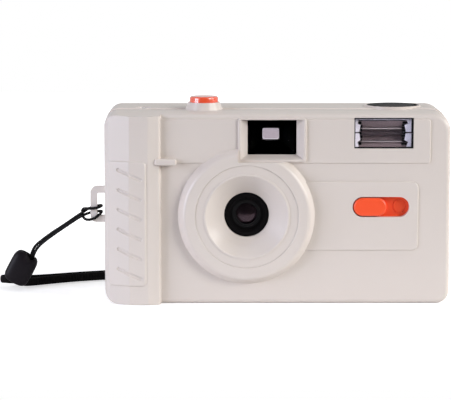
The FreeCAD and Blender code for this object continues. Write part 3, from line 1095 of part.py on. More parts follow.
def release_lever():
    """Bell crank: a pad under the button's stem and an arm beside the blade's tail."""
    px, pz = LEVER_PIVOT
    tx, tz = LEVER_TIP
    y0, y1 = LEVER_Y
    pad_z = BUTTON_STEM_Z - LEVER_PAD_GAP
    half = LEVER_ARM / 2
    upper = prism_y([(px + half, pz), (px - half * 0.6, pz - half), (BUTTON_AT[0] - 1.6, pad_z - 1.4),
                     (BUTTON_AT[0] - 1.6, pad_z), (BUTTON_AT[0] + 1.6, pad_z)], y0, y1)
    lower = prism_y([(px - half, pz), (px + half, pz), (tx + half, tz - 0.6), (tx - half, tz - 0.6)], y0, y1)
    pad = box(BUTTON_AT[0] - 1.6, BUTTON_AT[0] + 1.6, y0, BUTTON_AT[1] + 1.6, pad_z - 0.8, pad_z)
    body = fuse(upper, lower, pad, rod_y(y0, y1, px, pz, HUB_R))
    return body.cut(rod_y(y0 - 1, y1 + 1, px, pz, POST_R + RUNNING))


def shutter_button():
    x, y = BUTTON_AT
    top = HEIGHT + BUTTON_PROUD
    cap = rod_z(INNER_TOP_Z - 0.3, top, x, y, BUTTON_R)
    cap = fillet_where(cap, 0.7, lambda p: abs(p.z - top) < 1e-6)
    flange = rod_z(INNER_TOP_Z - 1.1, INNER_TOP_Z - 0.2, x, y, BUTTON_R + 0.9)
    stem = rod_z(BUTTON_STEM_Z, INNER_TOP_Z - 0.5, x, y, BUTTON_STEM_R)
    return fuse(cap, flange, stem)


def button_spring():
    """Turns of wire round the stem, between the seat on the chassis and the button's flange."""
    x, y = BUTTON_AT
    r = BUTTON_STEM_R + 0.2 + SPRING_WIRE
    z0 = BUTTON_SEAT_Z + SPRING_WIRE / 2 + 0.02
    z1 = INNER_TOP_Z - 1.1 - SPRING_WIRE / 2 - 0.02
    turns = 3
    points = []
    steps = turns * 4
    for i in range(steps + 1):
        angle = math.radians(i * 90)
        rise = (z1 - z0) * i / steps
        points.append(V(x + r * math.cos(angle), y + r * math.sin(angle), z0 + rise))
    edges = []
    for i in range(0, steps - 1, 2):
        edges.append(Part.Arc(points[i], points[i + 1], points[i + 2]).toShape())
    path = Part.Wire(edges)
    start = path.Edges[0].tangentAt(path.Edges[0].FirstParameter)
    section = Part.Wire(Part.makeCircle(SPRING_WIRE / 2, points[0], start))
    return path.makePipeShell([section], True, False)


# Viewfinder

FINDER_CENTRE_X = sum(FINDER_WINDOW_X) / 2
EYE_HALF = EYEPIECE_WIDTH / 2
EYE_BOTTOM_Z = EYEPIECE_Z - EYEPIECE_HEIGHT / 2
EYE_TOP_Z = EYEPIECE_Z + EYEPIECE_HEIGHT / 2


def finder_section(grow, y):
    """Front size of the tunnel, grown by a wall, at a given depth."""
    return (FINDER_WINDOW_X[0] - grow, FINDER_WINDOW_X[1] + grow, FINDER_WINDOW_Z[0] - grow,
            FINDER_WINDOW_Z[1] + grow, y)


def eye_section(grow, y):
    return (FINDER_CENTRE_X - EYE_HALF - grow, FINDER_CENTRE_X + EYE_HALF + grow, EYE_BOTTOM_Z - grow,
            EYE_TOP_Z + grow, y)


def tunnel_form(grow, eye_grow, front_y, rear_y):
    taper = FINDER_TAPER_Y
    return fuse(loft_y(finder_section(grow, front_y), finder_section(grow, taper[0])),
                loft_y(finder_section(grow, taper[0]), eye_section(eye_grow, taper[1])),
                loft_y(eye_section(eye_grow, taper[1]), eye_section(eye_grow, rear_y)))


def finder_tunnel():
    front = FINDER_LENS_Y + SEAT
    rear = INNER_REAR_Y - SEAT
    wall = FINDER_WALL
    outer = tunnel_form(wall, EYEPIECE_WALL, front, rear)
    inner = tunnel_form(0, 0, front - 0.01, rear + 0.01)
    ledge_y = front + FINDER_LENS_EDGE + 2 * SEAT
    ledge = cut(loft_y(finder_section(0.2, ledge_y), finder_section(0.2, ledge_y + 0.6)),
                loft_y(finder_section(-0.6, ledge_y - 1), finder_section(-0.6, ledge_y + 2)))
    return fuse(outer.cut(inner), ledge)


def finder_front_lens():
    """Window glass, hollowed at the back round a low axis so that it shrinks the view."""
    front = FINDER_LENS_Y + 2 * SEAT
    block = loft_y(finder_section(-SEAT, front), finder_section(-SEAT, front + FINDER_LENS_EDGE))
    axis_z = sum(FINDER_WINDOW_Z) / 2 - FINDER_LENS_DROP
    ball = Part.makeSphere(FINDER_LENS_HOLLOW_R,
                           V(FINDER_CENTRE_X, front + FINDER_LENS_CENTRE + FINDER_LENS_HOLLOW_R, axis_z))
    return block.cut(ball)


def finder_eyepiece():
    y1 = INNER_REAR_Y - SEAT
    section = eye_section(-SEAT, y1 - EYEPIECE_THICK)
    block = rounded_block(section[0], section[1], section[2], section[3], 1.0, section[4], y1)
    r = EYEPIECE_WIDTH * 1.6
    ball = Part.makeSphere(r, V(FINDER_CENTRE_X, y1 - r, EYEPIECE_Z))
    return block.common(ball)


# Flash

TUBE_AT = (FRONT_Y + 4.5, sum(FLASH_Z) / 2)
REFLECTOR_FRONT_Y = FRONT_Y + FLASH_WINDOW_THICK + 0.1


def flash_window():
    """Clear plate with shallow ribs across its inner face."""
    body = box(FLASH_X[0] + SEAT, FLASH_X[1] - SEAT, FRONT_Y - PANEL_RISE + 0.15, FRONT_Y + FLASH_WINDOW_THICK,
               FLASH_Z[0] + SEAT, FLASH_Z[1] - SEAT)
    count = int((FLASH_Z[1] - FLASH_Z[0]) / FLASH_RIB_PITCH)
    start = (FLASH_Z[0] + FLASH_Z[1] - (count - 1) * FLASH_RIB_PITCH) / 2
    back = FRONT_Y + FLASH_WINDOW_THICK
    grooves = [prism_x([(back + 0.1, start + i * FLASH_RIB_PITCH - 0.4), (back - FLASH_RIB_DEPTH, start + i
                        * FLASH_RIB_PITCH), (back + 0.1, start + i * FLASH_RIB_PITCH + 0.4)],
                       FLASH_X[0] + 1, FLASH_X[1] - 1) for i in range(count)]
    return cut(body, *grooves)


def trough_outline(grow):
    """Half round trough section as (y, z) points, deepest behind the tube."""
    middle = sum(FLASH_Z) / 2
    half = (FLASH_Z[1] - FLASH_Z[0]) / 2 - 0.5
    points = []
    steps = 12
    for i in range(steps + 1):
        t = -1 + 2 * i / steps
        depth = REFLECTOR_DEPTH * (1 - t * t)
        points.append((REFLECTOR_FRONT_Y + depth + (grow if 0 < i < steps else 0), middle + t * (half + grow)))
    return points


def flash_reflector():
    grow = REFLECTOR_SHEET
    x0 = FLASH_X[0] + 0.4
    x1 = FLASH_X[1] - 0.4
    body = prism_x(trough_outline(grow), x0, x1)
    inner = prism_x(trough_outline(0), x0 + grow, x1 - grow)
    body = body.cut(inner)
    flange = cut(box(FLASH_X[0] - 1.0, FLASH_X[1] + 1.0, INNER_FRONT_Y + 0.02, INNER_FRONT_Y + 0.4,
                     FLASH_Z[0] - 0.9, min(FLASH_Z[1] + 0.6, INNER_TOP_Z - 0.1)),
                 prism_x(trough_outline(grow * 0.5), x0 + grow, x1 - grow),
                 prism_x(trough_outline(0), x0 + grow, x1 - grow))
    body = fuse(body, flange)
    return body.cut(rod_x(FLASH_X[0] - 2, FLASH_X[1] + 2, TUBE_AT[0], TUBE_AT[1], TUBE_R + 0.15))


def flash_tube():
    return rod_x(FLASH_X[0] - 1.2, FLASH_X[1] + 1.2, TUBE_AT[0], TUBE_AT[1], TUBE_R)


def tube_sleeves():
    """Rubber sleeves at the two ends of the tube."""
    ends = []
    for side, x in ((-1, FLASH_X[0] + 0.35), (1, FLASH_X[1] - 0.35)):
        x0, x1 = sorted((x, x + side * SLEEVE_LENGTH))
        ends.append(rod_x(x0, x1, TUBE_AT[0], TUBE_AT[1], SLEEVE_R).cut(
            rod_x(x0 - 1, x1 + 1, TUBE_AT[0], TUBE_AT[1], TUBE_R + 0.02)))
    return Part.makeCompound(ends)


def slider_z():
    return (SLOT_Z[0] - 1.5, SLOT_Z[1] + 1.5)


def flash_slider():
    """Knob on a base plate that closes the slot from behind in both positions."""
    z0, z1 = slider_z()
    y0 = INNER_FRONT_Y + 0.12
    plate = box(SLOT_X[0] - SLIDER_TRAVEL - 0.9, SLOT_X[1] + 0.9, y0, y0 + SLIDER_PLATE, z0, z1)
    knob = stadium_y(SLOT_X[0] + SLIDER_GAP, SLOT_X[1] - SLIDER_TRAVEL - SLIDER_GAP, SLOT_Z[0] + SLIDER_GAP,
                     SLOT_Z[1] - SLIDER_GAP, FRONT_Y - PANEL_RISE - SLIDER_PROUD, y0 + 0.1)
    knob = fillet_where(knob, 0.6, lambda p: abs(p.y - (FRONT_Y - PANEL_RISE - SLIDER_PROUD)) < 1e-6)
    dot_x = SLOT_X[1] - SLIDER_GAP - SLIDER_DOT_R - 0.5
    dot = rod_y(y0 - 0.1, y0 + SLIDER_DOT_DEPTH, dot_x, sum(SLOT_Z) / 2, SLIDER_DOT_R)
    dot = dot.cut(rod_y(y0 - 1, y0 + 1, dot_x, sum(SLOT_Z) / 2, SLIDER_DOT_R - 0.35))
    foot_x = (SLOT_X[0] + SLOT_X[1] - SLIDER_TRAVEL) / 2
    foot = box(foot_x - 3.0, foot_x + 3.0, y0 + 0.5, BOARD_Y - CONTACT_SHEET - 0.25, z0 + 2.5, z1 - 2.5)
    return fuse(plate, knob, foot).cut(dot)


def slider_contact():
    """Bridge of thin bronze on the slider's foot that wipes the circuit board."""
    z0, z1 = slider_z()
    x = (SLOT_X[0] + SLOT_X[1] - SLIDER_TRAVEL) / 2
    y = BOARD_Y - CONTACT_SHEET - 0.23
    return fuse(box(x - 2.6, x + 2.6, y, y + CONTACT_SHEET - 0.15, z0 + 2.7, z1 - 2.7),
                box(x - 2.6, x - 1.2, y, BOARD_Y - 0.1, z0 + 2.7, z0 + 3.4),
                box(x - 2.6, x - 1.2, y, BOARD_Y - 0.1, z1 - 3.4, z1 - 2.7))


def flash_circuit_board():
    return box(BOARD_X[0], BOARD_X[1], BOARD_Y, BOARD_Y + BOARD_THICK, BOARD_Z[0], BOARD_Z[1])


def flash_transformer():
    x, z = TRANSFORMER_AT
    w, d, h = TRANSFORMER
    y0 = BOARD_Y + BOARD_THICK + 0.02
    core = box(x, x + w, y0, y0 + d, z, z + h)
    waist = cut(box(x - 1, x + w + 1, y0 + 0.8, y0 + d + 1, z + 1.5, z + h - 1.5),
                box(x + 0.8, x + w - 0.8, y0, y0 + d - 0.6, z, z + h))
    return core.cut(waist)


def ready_lamp():
    """Small lamp seen beside the eyepiece."""
    x, z = LAMP_AT
    return fuse(rod_y(REAR_Y - 4.2, REAR_Y - 0.2, x, z, LAMP_R), rod_y(REAR_Y - 4.8, INNER_REAR_Y - SEAT, x, z,
                                                                     LAMP_R + 0.5))


def main_capacitor():
    x, y, z = CAPACITOR_X, CAPACITOR_Y, CAPACITOR_Z
    can = rod_x(x, x + CAPACITOR_LENGTH, y, z, CAPACITOR_R)
    groove = cut(rod_x(x + 2.0, x + 2.8, y, z, CAPACITOR_R + 1), rod_x(x + 1, x + 4, y, z, CAPACITOR_R - 0.35))
    return can.cut(groove)


# Battery

CELL_BOTTOM_Z = FLOOR_Z[0] - 1.0
CELL_TOP_Z = CELL_BOTTOM_Z + CELL_LENGTH - CELL_NIB


def battery():
    x, y = CELL_AT
    can = rod_z(CELL_BOTTOM_Z, CELL_TOP_Z, x, y, CELL_R)
    return fuse(can, rod_z(CELL_TOP_Z - 0.1, CELL_TOP_Z + CELL_NIB, x, y, CELL_NIB_R))


def battery_contacts():
    """Flat plate over the nib, and a bowed leaf on the battery door's side."""
    x, y = CELL_AT
    top = MID_ROOF_Z[0] - 0.02
    plate = box(x - 3.2, x + 3.2, y - 3.0, y + 3.0, top - CONTACT_SHEET, top)
    leaf_z = BATTERY_DOOR_THICK + 0.3
    bend_z = CELL_BOTTOM_Z - SEAT
    sheet = CONTACT_SHEET
    outline = [(x - 4.4, leaf_z), (x - 1.2, bend_z - sheet), (x + 1.2, bend_z - sheet), (x + 4.4, leaf_z),
               (x + 4.4, leaf_z + sheet), (x + 1.2, bend_z), (x - 1.2, bend_z), (x - 4.4, leaf_z + sheet)]
    leaf = prism_y(outline, y - 2.0, y + 2.0)
    return Part.makeCompound([plate, leaf])


def battery_door():
    x0, x1 = BATTERY_DOOR_X
    y0, y1 = BATTERY_DOOR_Y
    t = BATTERY_DOOR_THICK
    plate = box(x0 + t / 2, x1, y0, y1, 0, t)
    knuckle = rod_y(y0, y1, x0 + t / 2, t / 2, t / 2)
    scoop = rod_y(y0 + 4, y1 - 4, x1 - 1.6, -0.7, 1.3)
    return cut(fuse(plate, knuckle), rod_y(y0 - 1, y1 + 1, x0 + t / 2, t / 2, BATTERY_PIN_R + RUNNING), scoop)


def battery_door_pin():
    t = BATTERY_DOOR_THICK
    return rod_y(BATTERY_DOOR_Y[0] - 1.4, BATTERY_DOOR_Y[1] + 1.4, BATTERY_DOOR_X[0] + t / 2, t / 2,
                 BATTERY_PIN_R)


def battery_leads():
    """Two insulated wires from the battery contacts to the circuit board."""
    x, y = CELL_AT
    top = MID_ROOF_Z[0] - 4.0
    tube_r = CELL_R + CELL_BAY_GAP + CELL_BAY_WALL
    front = y - tube_r - 0.7
    upper = [V(x + 1, front, top), V(x + 4.0, front - 0.4, top - 1.5), V(x + 7.5, front + 0.4, top - 4.5),
             V(BOARD_X[0] + 2.0, BOARD_Y + BOARD_THICK + LEAD_R + 0.05, top - 8.0)]
    lower = [V(x + 1, front, 9.0), V(x + 4.0, front - 0.4, 10.5), V(x + 7.0, front + 0.4, 12.5),
             V(BOARD_X[0] + 2.0, BOARD_Y + BOARD_THICK + LEAD_R + 0.05, 15.5)]
    return Part.makeCompound([tube_along(upper, LEAD_R)[0], tube_along(lower, LEAD_R)[0]])


# Film advance

def take_up_spool():
    x, y = SPOOL_AT
    z0 = FLOOR_Z[1] + AIR
    z1 = ROOF_Z[0] - AIR
    body = fuse(rod_z(z0, z1, x, y, SPOOL_R), rod_z(z0, z0 + 1.0, x, y, SPOOL_FLANGE_R),
                rod_z(z1 - 1.0, z1, x, y, SPOOL_FLANGE_R),
                rod_z(FLOOR_Z[0] + 0.1, GEAR_Z[1], x, y, SPOOL_SHAFT_R),
                gear_z(x, y, GEAR_Z[0], GEAR_Z[1], SPOOL_GEAR_TEETH, SPOOL_SHAFT_R - 0.1, 0))
    film_slot = box(x - 0.5, x + 0.5, y - SPOOL_R - 1, y + SPOOL_R + 1, z0 + 5, z1 - 5)
    return body.cut(film_slot)


def mesh_phase():
    """Turn of the sprocket gear that puts its gap against the spool gear's tooth."""
    dx = SPROCKET_AT[0] - SPOOL_AT[0]
    dy = SPROCKET_AT[1] - SPOOL_AT[1]
    direction = math.degrees(math.atan2(dy, dx))
    spool_step = 360.0 / SPOOL_GEAR_TEETH
    step = 360.0 / SPROCKET_GEAR_TEETH
    offset = (direction / spool_step) % 1.0
    return direction + 180 + (0.5 + offset) * step


def sprocket_shaft():
    x, y = SPROCKET_AT
    z0 = FLOOR_Z[1] + AIR
    z1 = ROOF_Z[0] - AIR
    body = fuse(rod_z(z0, z1, x, y, SPROCKET_DRUM_R - 1.3), rod_z(FLOOR_Z[0] + 0.1, THUMB_Z[0] - 0.05, x, y,
                                                                SPROCKET_SHAFT_R),
                gear_z(x, y, GEAR_Z[0], GEAR_Z[1], SPROCKET_GEAR_TEETH, SPROCKET_SHAFT_R - 0.1, mesh_phase()))
    for middle in (LENS_Z - FILM_WIDTH / 2 + PERFORATION_INSET, LENS_Z + FILM_WIDTH / 2 - PERFORATION_INSET):
        body = fuse(body, rod_z(middle - 2.2, middle + 2.2, x, y, SPROCKET_DRUM_R))
        for i in range(SPROCKET_TEETH):
            angle = 360.0 / SPROCKET_TEETH * i
            tooth = box(x + SPROCKET_DRUM_R - 0.5, x + SPROCKET_R, y - 0.7, y + 0.7, middle - 0.9, middle + 0.9)
            body = body.fuse(turned(tooth, V(x, y, 0), V(0, 0, 1), angle))
    return body.removeSplitter()


def thumb_wheel():
    """Knurled wheel on the sprocket's shaft, its rim in the slot of the rear wall."""
    x, y = SPROCKET_AT
    body = rod_z(THUMB_Z[0], THUMB_Z[1], x, y, THUMB_R)
    recess = cut(rod_z(THUMB_Z[1] - 1.2, THUMB_Z[1] + 1, x, y, THUMB_R - 1.6),
                 rod_z(THUMB_Z[1] - 2, THUMB_Z[1] + 2, x, y, 3.0))
    body = body.cut(recess)
    notches = []
    for i in range(THUMB_KNURLS):
        angle = math.radians(360.0 / THUMB_KNURLS * i)
        notches.append(rod_z(THUMB_Z[0] - 1, THUMB_Z[1] + 1, x + (THUMB_R + 0.15) * math.cos(angle),
                             y + (THUMB_R + 0.15) * math.sin(angle), THUMB_KNURL_R))
    return body.cut(Part.makeCompound(notches))


def counter_dial():
    x, y = DIAL_AT
    disc = rod_z(DIAL_Z[0], DIAL_Z[1], x, y, DIAL_R)
    hub = rod_z(DIAL_Z[0], DIAL_Z[1] + 0.2, x, y, DIAL_POST_R + 0.8)
    return fuse(disc, hub).cut(rod_z(DIAL_Z[0] - 1, DIAL_Z[1] + 1, x, y, DIAL_POST_R + RUNNING))


def counter_window():
    x = DIAL_AT[0]
    flat = rod_z(HEIGHT - 1.0 + SEAT, HEIGHT - 0.05, x, COUNTER_WINDOW_Y, COUNTER_WINDOW_R - SEAT)
    lens = Part.makeSphere(COUNTER_WINDOW_R * 3, V(x, COUNTER_WINDOW_Y, HEIGHT - 0.05 - COUNTER_WINDOW_R * 3))
    return flat.common(lens)


# Rewind

KNOB_Z = (HEIGHT + KNOB_PROUD - KNOB_THICK, HEIGHT + KNOB_PROUD)
FORK_Z0 = ROOF_Z[0] - FORK_LENGTH
SLEEVE_Z = (ROOF_Z[1] + 0.1, ROOF_Z[1] + 1.9)


def rewind_sleeve():
    """Ring that rests on the chassis roof and lifts with the shaft."""
    x, y = CARTRIDGE_AT
    return cut(rod_z(SLEEVE_Z[0], SLEEVE_Z[1], x, y, FORK_R + 1.2),
               rod_z(SLEEVE_Z[0] - 1, SLEEVE_Z[1] + 1, x, y, REWIND_SHAFT_R + RUNNING))


def rewind_shaft():
    x, y = CARTRIDGE_AT
    shaft = rod_z(ROOF_Z[0] - 0.5, KNOB_Z[0] - 0.02, x, y, REWIND_SHAFT_R)
    fork = rod_z(FORK_Z0, ROOF_Z[1], x, y, FORK_R)
    slot = box(x - FORK_SLOT / 2, x + FORK_SLOT / 2, y - FORK_R - 1, y + FORK_R + 1, FORK_Z0 - 1,
               ROOF_Z[0] - 0.8)
    return fuse(shaft, fork.cut(slot))


def crank_outline(grow):
    """Plan of the crank arm: a bar with round ends across the knob."""
    half = CRANK_WIDTH / 2 + grow
    return half, CRANK_PIVOT - 1.2 - grow, CRANK_END + grow


def crank_bar(grow, z0, z1):
    x, y = CARTRIDGE_AT
    half, start, end = crank_outline(grow)
    return fuse(box(x + start, x + end - half, y - half, y + half, z0, z1),
                rod_z(z0, z1, x + end - half, y, half))


def on_knob(shape):
    """Turns a piece about the knob's axis, so that the crank's hinge lies to the right."""
    return turned(shape, V(CARTRIDGE_AT[0], CARTRIDGE_AT[1], 0), V(0, 0, 1), CRANK_TURN)


def rewind_knob():
    x, y = CARTRIDGE_AT
    body = rod_z(KNOB_Z[0], KNOB_Z[1], x, y, KNOB_R)
    body = fillet_where(body, 0.4, lambda p: abs(p.z - KNOB_Z[1]) < 1e-6)
    arm_z = KNOB_Z[1] - CRANK_THICK
    pivot_z = KNOB_Z[1] - CRANK_THICK / 2
    handle_x = x + CRANK_END - CRANK_WIDTH / 2
    holes = [
        crank_bar(SLIDING, arm_z - 0.1, KNOB_Z[1] + 1),
        box(x - KNOB_R - 1, x + CRANK_PIVOT, y - CRANK_WIDTH / 2 - SLIDING, y + CRANK_WIDTH / 2 + SLIDING,
            arm_z - 0.3, KNOB_Z[1] + 1),
        rod_z(KNOB_Z[0] + 0.3, KNOB_Z[1] + 1, handle_x, y, HANDLE_R + 0.3),
        rod_y(y - CRANK_WIDTH / 2 - 1.4, y + CRANK_WIDTH / 2 + 1.4, x + CRANK_PIVOT, pivot_z, CRANK_PIN_R),
    ]
    for i in range(24):
        angle = math.radians(15 * i)
        holes.append(rod_z(KNOB_Z[0] - 1, KNOB_Z[1] + 1, x + (KNOB_R + 0.1) * math.cos(angle),
                           y + (KNOB_R + 0.1) * math.sin(angle), 0.4))
    return on_knob(cut(body, *holes))


def rewind_crank():
    x, y = CARTRIDGE_AT
    pivot_z = KNOB_Z[1] - CRANK_THICK / 2
    arm = crank_bar(0, KNOB_Z[1] - CRANK_THICK, KNOB_Z[1])
    arm = arm.cut(box(x + CRANK_PIVOT - 3, x + CRANK_PIVOT, y - 5, y + 5, KNOB_Z[0], KNOB_Z[1] + 1))
    barrel = rod_y(y - CRANK_WIDTH / 2, y + CRANK_WIDTH / 2, x + CRANK_PIVOT, pivot_z, CRANK_THICK / 2)
    handle_x = x + CRANK_END - CRANK_WIDTH / 2
    pin_hole = rod_y(y - 5, y + 5, x + CRANK_PIVOT, pivot_z, CRANK_PIN_R - 0.15 + RUNNING)
    stud_hole = rod_z(KNOB_Z[1] - CRANK_THICK - 1, KNOB_Z[1] + 1, handle_x, y, HANDLE_STUD_R + RUNNING)
    return on_knob(cut(fuse(arm, barrel), pin_hole, stud_hole))


def crank_pin():
    x, y = CARTRIDGE_AT
    return on_knob(rod_y(y - CRANK_WIDTH / 2 - 1.4 + 0.02, y + CRANK_WIDTH / 2 + 1.4 - 0.02, x + CRANK_PIVOT,
                         KNOB_Z[1] - CRANK_THICK / 2, CRANK_PIN_R - 0.15))


def crank_handle():
    """Small grip on the underside of the crank, turning on its own stud."""
    x, y = CARTRIDGE_AT
    handle_x = x + CRANK_END - CRANK_WIDTH / 2
    under = KNOB_Z[1] - CRANK_THICK - 0.05
    return on_knob(fuse(rod_z(KNOB_Z[0] + 0.45, under, handle_x, y, HANDLE_R),
                        rod_z(under - 0.2, KNOB_Z[1] - 0.1, handle_x, y, HANDLE_STUD_R)))


# Fasteners

def case_screws():
    """Two long screws through the top band and two through the chassis, all from the rear."""
    low_seat = CHASSIS_FRONT_Y + LOW_SCREW_SEAT + 0.02
    top = [screw_y(x, TOP_SCREW_Z, FRONT_SEAM_Y - 2.0, TOP_SCREW_SEAT_Y + 0.02, SCREW_R, SCREW_HEAD_R,
                   SCREW_HEAD) for x in TOP_SCREWS_X]
    low = [screw_y(x, LOW_SCREW_Z, low_seat - SCREW_LENGTH + 0.1, low_seat, SCREW_R, SCREW_HEAD_R, SCREW_HEAD)
           for x in LOW_SCREWS_X]
    return Part.makeCompound(top + low)


# Wrist strap: a thin cord hitched on the lug, a bead, and a woven loop on the floor

# Thin cord in a lark's head: up from the bead in front of the bight, behind the lug's bar, through its
# hole, over the bar's front, round behind the two tails as the bight, and back the same way to the bead
CORD_ROUTE = [
    (-85.6, 11.0, 10.9), (-85.3, 10.8, 12.6), (-83.9, 10.0, 15.5), (-81.4, 9.0, 17.6), (-78.0, 7.4, 20.3),
    (-74.2, 5.5, 22.9), (-70.4, 3.2, 25.7), (-68.1, 1.0, 27.5), (-66.2, -0.2, 28.8), (-64.9, 1.2, 29.6),
    (-63.4, 2.15, 30.2), (-61.0, 1.95, 30.8), (-59.9, 1.0, 31.0), (-59.9, -0.9, 30.9), (-61.0, -1.95, 30.5),
    (-62.9, -2.0, 30.2), (-64.9, -1.7, 30.2), (-66.2, -0.4, 30.0), (-66.7, 1.1, 29.1), (-66.6, 1.1, 27.7),
    (-66.0, -0.4, 26.5), (-64.6, -1.8, 26.2), (-62.5, -2.0, 26.6), (-60.8, -2.05, 27.9), (-59.9, -0.9, 28.8),
    (-59.9, 1.0, 29.0), (-61.0, 2.0, 28.8), (-63.4, 2.15, 28.4), (-64.9, 1.2, 28.1), (-66.2, -0.2, 27.65),
    (-67.8, 1.0, 26.4), (-69.9, 3.2, 24.7), (-73.6, 5.5, 22.0), (-77.3, 7.4, 19.3), (-80.6, 9.0, 16.7),
    (-82.9, 10.0, 14.5), (-84.3, 10.8, 11.9), (-84.9, 11.2, 10.4),
]

# Woven band: out of the bead's lower end, along the floor behind the case, round and back
STRAP_ROUTE = [
    (-92.0, 10.6, 4.6), (-94.6, 11.2, 3.6), (-95.9, 13.0, 3.3), (-95.4, 15.8, 2.8), (-92.8, 18.6, 2.1),
    (-88.0, 21.4, 1.7), (-80.0, 24.8, 1.6), (-68.5, 30.6, 1.6), (-50.0, 36.6, 1.6), (-22.0, 42.0, 1.6),
    (8.0, 48.0, 1.6), (27.0, 54.0, 1.6), (38.0, 55.0, 1.6), (44.8, 48.4, 1.6), (41.0, 39.5, 1.6),
    (28.0, 36.6, 1.6), (6.0, 37.4, 1.6), (-22.0, 36.4, 1.6), (-48.0, 33.4, 1.6), (-66.0, 28.0, 1.6),
    (-77.5, 22.0, 1.6), (-84.5, 17.2, 1.6), (-88.6, 14.2, 1.8), (-91.0, 12.2, 2.9),
]


def strap_cord():
    return tube_along([V(*p) for p in CORD_ROUTE], CORD_R)


def wrist_strap():
    return band_along([V(*p) for p in STRAP_ROUTE], STRAP_BAND[0], STRAP_BAND[1])


def strap_bead():
    """Pillow shaped cord slider, its length along the line from foot to top."""
    top = V(*BEAD_TOP)
    foot = V(*BEAD_FOOT)
    axis = top - foot
    half = BEAD_WIDTH / 2
    body = rounded_block(-half, half, 0, axis.Length, BEAD_ROUND, -BEAD_DEPTH / 2, BEAD_DEPTH / 2)
    body = fillet_where(body, BEAD_ROUND * 0.8, lambda p: abs(abs(p.y) - BEAD_DEPTH / 2) < 1e-6)
    body.rotate(V(0, 0, 0), V(0, 1, 0), math.degrees(math.atan2(axis.x, axis.z)))
    body.translate(foot)
    return body


def print_route(name, made, section_area):
    shape, path, radii = made
    print("%s length %.1f, volume %.1f against %.1f, arc radii %s" % (
        name, path.Length, shape.Volume, path.Length * section_area, " ".join("%.1f" % r for r in radii)))
    return shape


SINGLE_PIECES = [
    front_cover, middle_cover, strap_lug, chassis, back_door, door_window, window_seal, door_light_seal,
    hinge_pin, pressure_plate, pressure_spring, door_latch, latch_spring, lens_bezel, lens_barrel,
    taking_lens, lens_retainer, aperture_disc, shutter_plate, shutter_blade, shutter_spring, release_lever,
    shutter_button, button_spring, finder_tunnel, finder_front_lens, finder_eyepiece, flash_window,
    flash_reflector, flash_tube, flash_slider, slider_contact, flash_circuit_board, flash_transformer,
    ready_lamp, main_capacitor, battery, battery_door, battery_door_pin, take_up_spool, sprocket_shaft,
    thumb_wheel, counter_dial, counter_window, rewind_sleeve, rewind_shaft, rewind_knob, rewind_crank,
    crank_pin, crank_handle, strap_bead,
]
GROUPS = [(shutter_screws, 3), (tube_sleeves, 2), (battery_contacts, 2), (battery_leads, 2), (case_screws, 4)]


def main():
    for maker in SINGLE_PIECES:
        one_solid(maker.__name__, maker())
    for maker, count in GROUPS:
        one_solid(maker.__name__, maker(), count)
    one_solid("strap_cord", print_route("strap_cord", strap_cord(), math.pi * CORD_R ** 2))
    one_solid("wrist_strap", print_route("wrist_strap", wrist_strap(), STRAP_BAND[0] * STRAP_BAND[1]))


if __name__ == "__main__":
    main()
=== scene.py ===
import logging
import math
from collections.abc import Callable
from dataclasses import dataclass, field, replace
from enum import Enum

import bpy
from bpy.types import Material, Mesh, Node, NodeSocket, NodeTree, Object
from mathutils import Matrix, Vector


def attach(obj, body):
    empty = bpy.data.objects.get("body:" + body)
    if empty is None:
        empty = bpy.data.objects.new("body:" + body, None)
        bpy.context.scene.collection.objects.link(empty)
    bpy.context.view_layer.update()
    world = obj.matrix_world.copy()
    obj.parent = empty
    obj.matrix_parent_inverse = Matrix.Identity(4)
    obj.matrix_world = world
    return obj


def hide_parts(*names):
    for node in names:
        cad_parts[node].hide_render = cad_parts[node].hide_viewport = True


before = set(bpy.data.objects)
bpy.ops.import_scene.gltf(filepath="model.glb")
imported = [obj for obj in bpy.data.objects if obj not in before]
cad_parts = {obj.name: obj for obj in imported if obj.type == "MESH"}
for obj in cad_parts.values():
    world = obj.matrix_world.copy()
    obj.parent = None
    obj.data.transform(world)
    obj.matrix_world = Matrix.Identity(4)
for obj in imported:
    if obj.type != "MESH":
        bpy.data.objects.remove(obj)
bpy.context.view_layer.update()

logging.basicConfig(level=logging.INFO, format="%(message)s")
log = logging.getLogger("camera")

MM = 0.001
WHITE = (1.0, 1.0, 1.0, 1.0)

Pair = tuple[float, float]
Outline = list[Pair]
Place = tuple[float, float, float]
Faces = list[tuple[int, ...]]
Face = Callable[[float, float], float]


class Texture(Enum):
    """How a surface was finished."""

    SPARK = "spark eroded"
    SATIN = "satin"
    POLISHED = "polished"
    BRUSHED = "brushed"
    WOVEN = "woven"
    FOAMED = "foamed"


def linear(code: str) -> tuple[float, float, float, float]:
    """Turns an sRGB hex colour into linear values.

    Args:
        code: colour as "#rrggbb".

    Returns:
        Linear red, green and blue, and 1 for alpha.
    """
    channels = []
    for i in (1, 3, 5):
        value = int(code[i:i + 2], 16) / 255
        channels.append(value / 12.92 if value <= 0.04045 else ((value + 0.055) / 1.055) ** 2.4)
    return (channels[0], channels[1], channels[2], 1.0)


def add_node(tree: NodeTree, kind: str, settings: dict | None = None,
             links: dict | None = None) -> Node:
    """Adds a shader node with its settings and its incoming links.

    Args:
        tree: nodes to add to.
        kind: node type name, without its ShaderNode.
        settings: attribute names or input socket names to values.
        links: input socket names or indices to output sockets.

    Returns:
        The new node.
    """
    node = tree.nodes.new("ShaderNode" + kind)
    for name, value in (settings or {}).items():
        if isinstance(name, int) or name in node.inputs:
            node.inputs[name].default_value = value
        else:
            setattr(node, name, value)
    for name, output in (links or {}).items():
        tree.links.new(output, node.inputs[name])
    return node


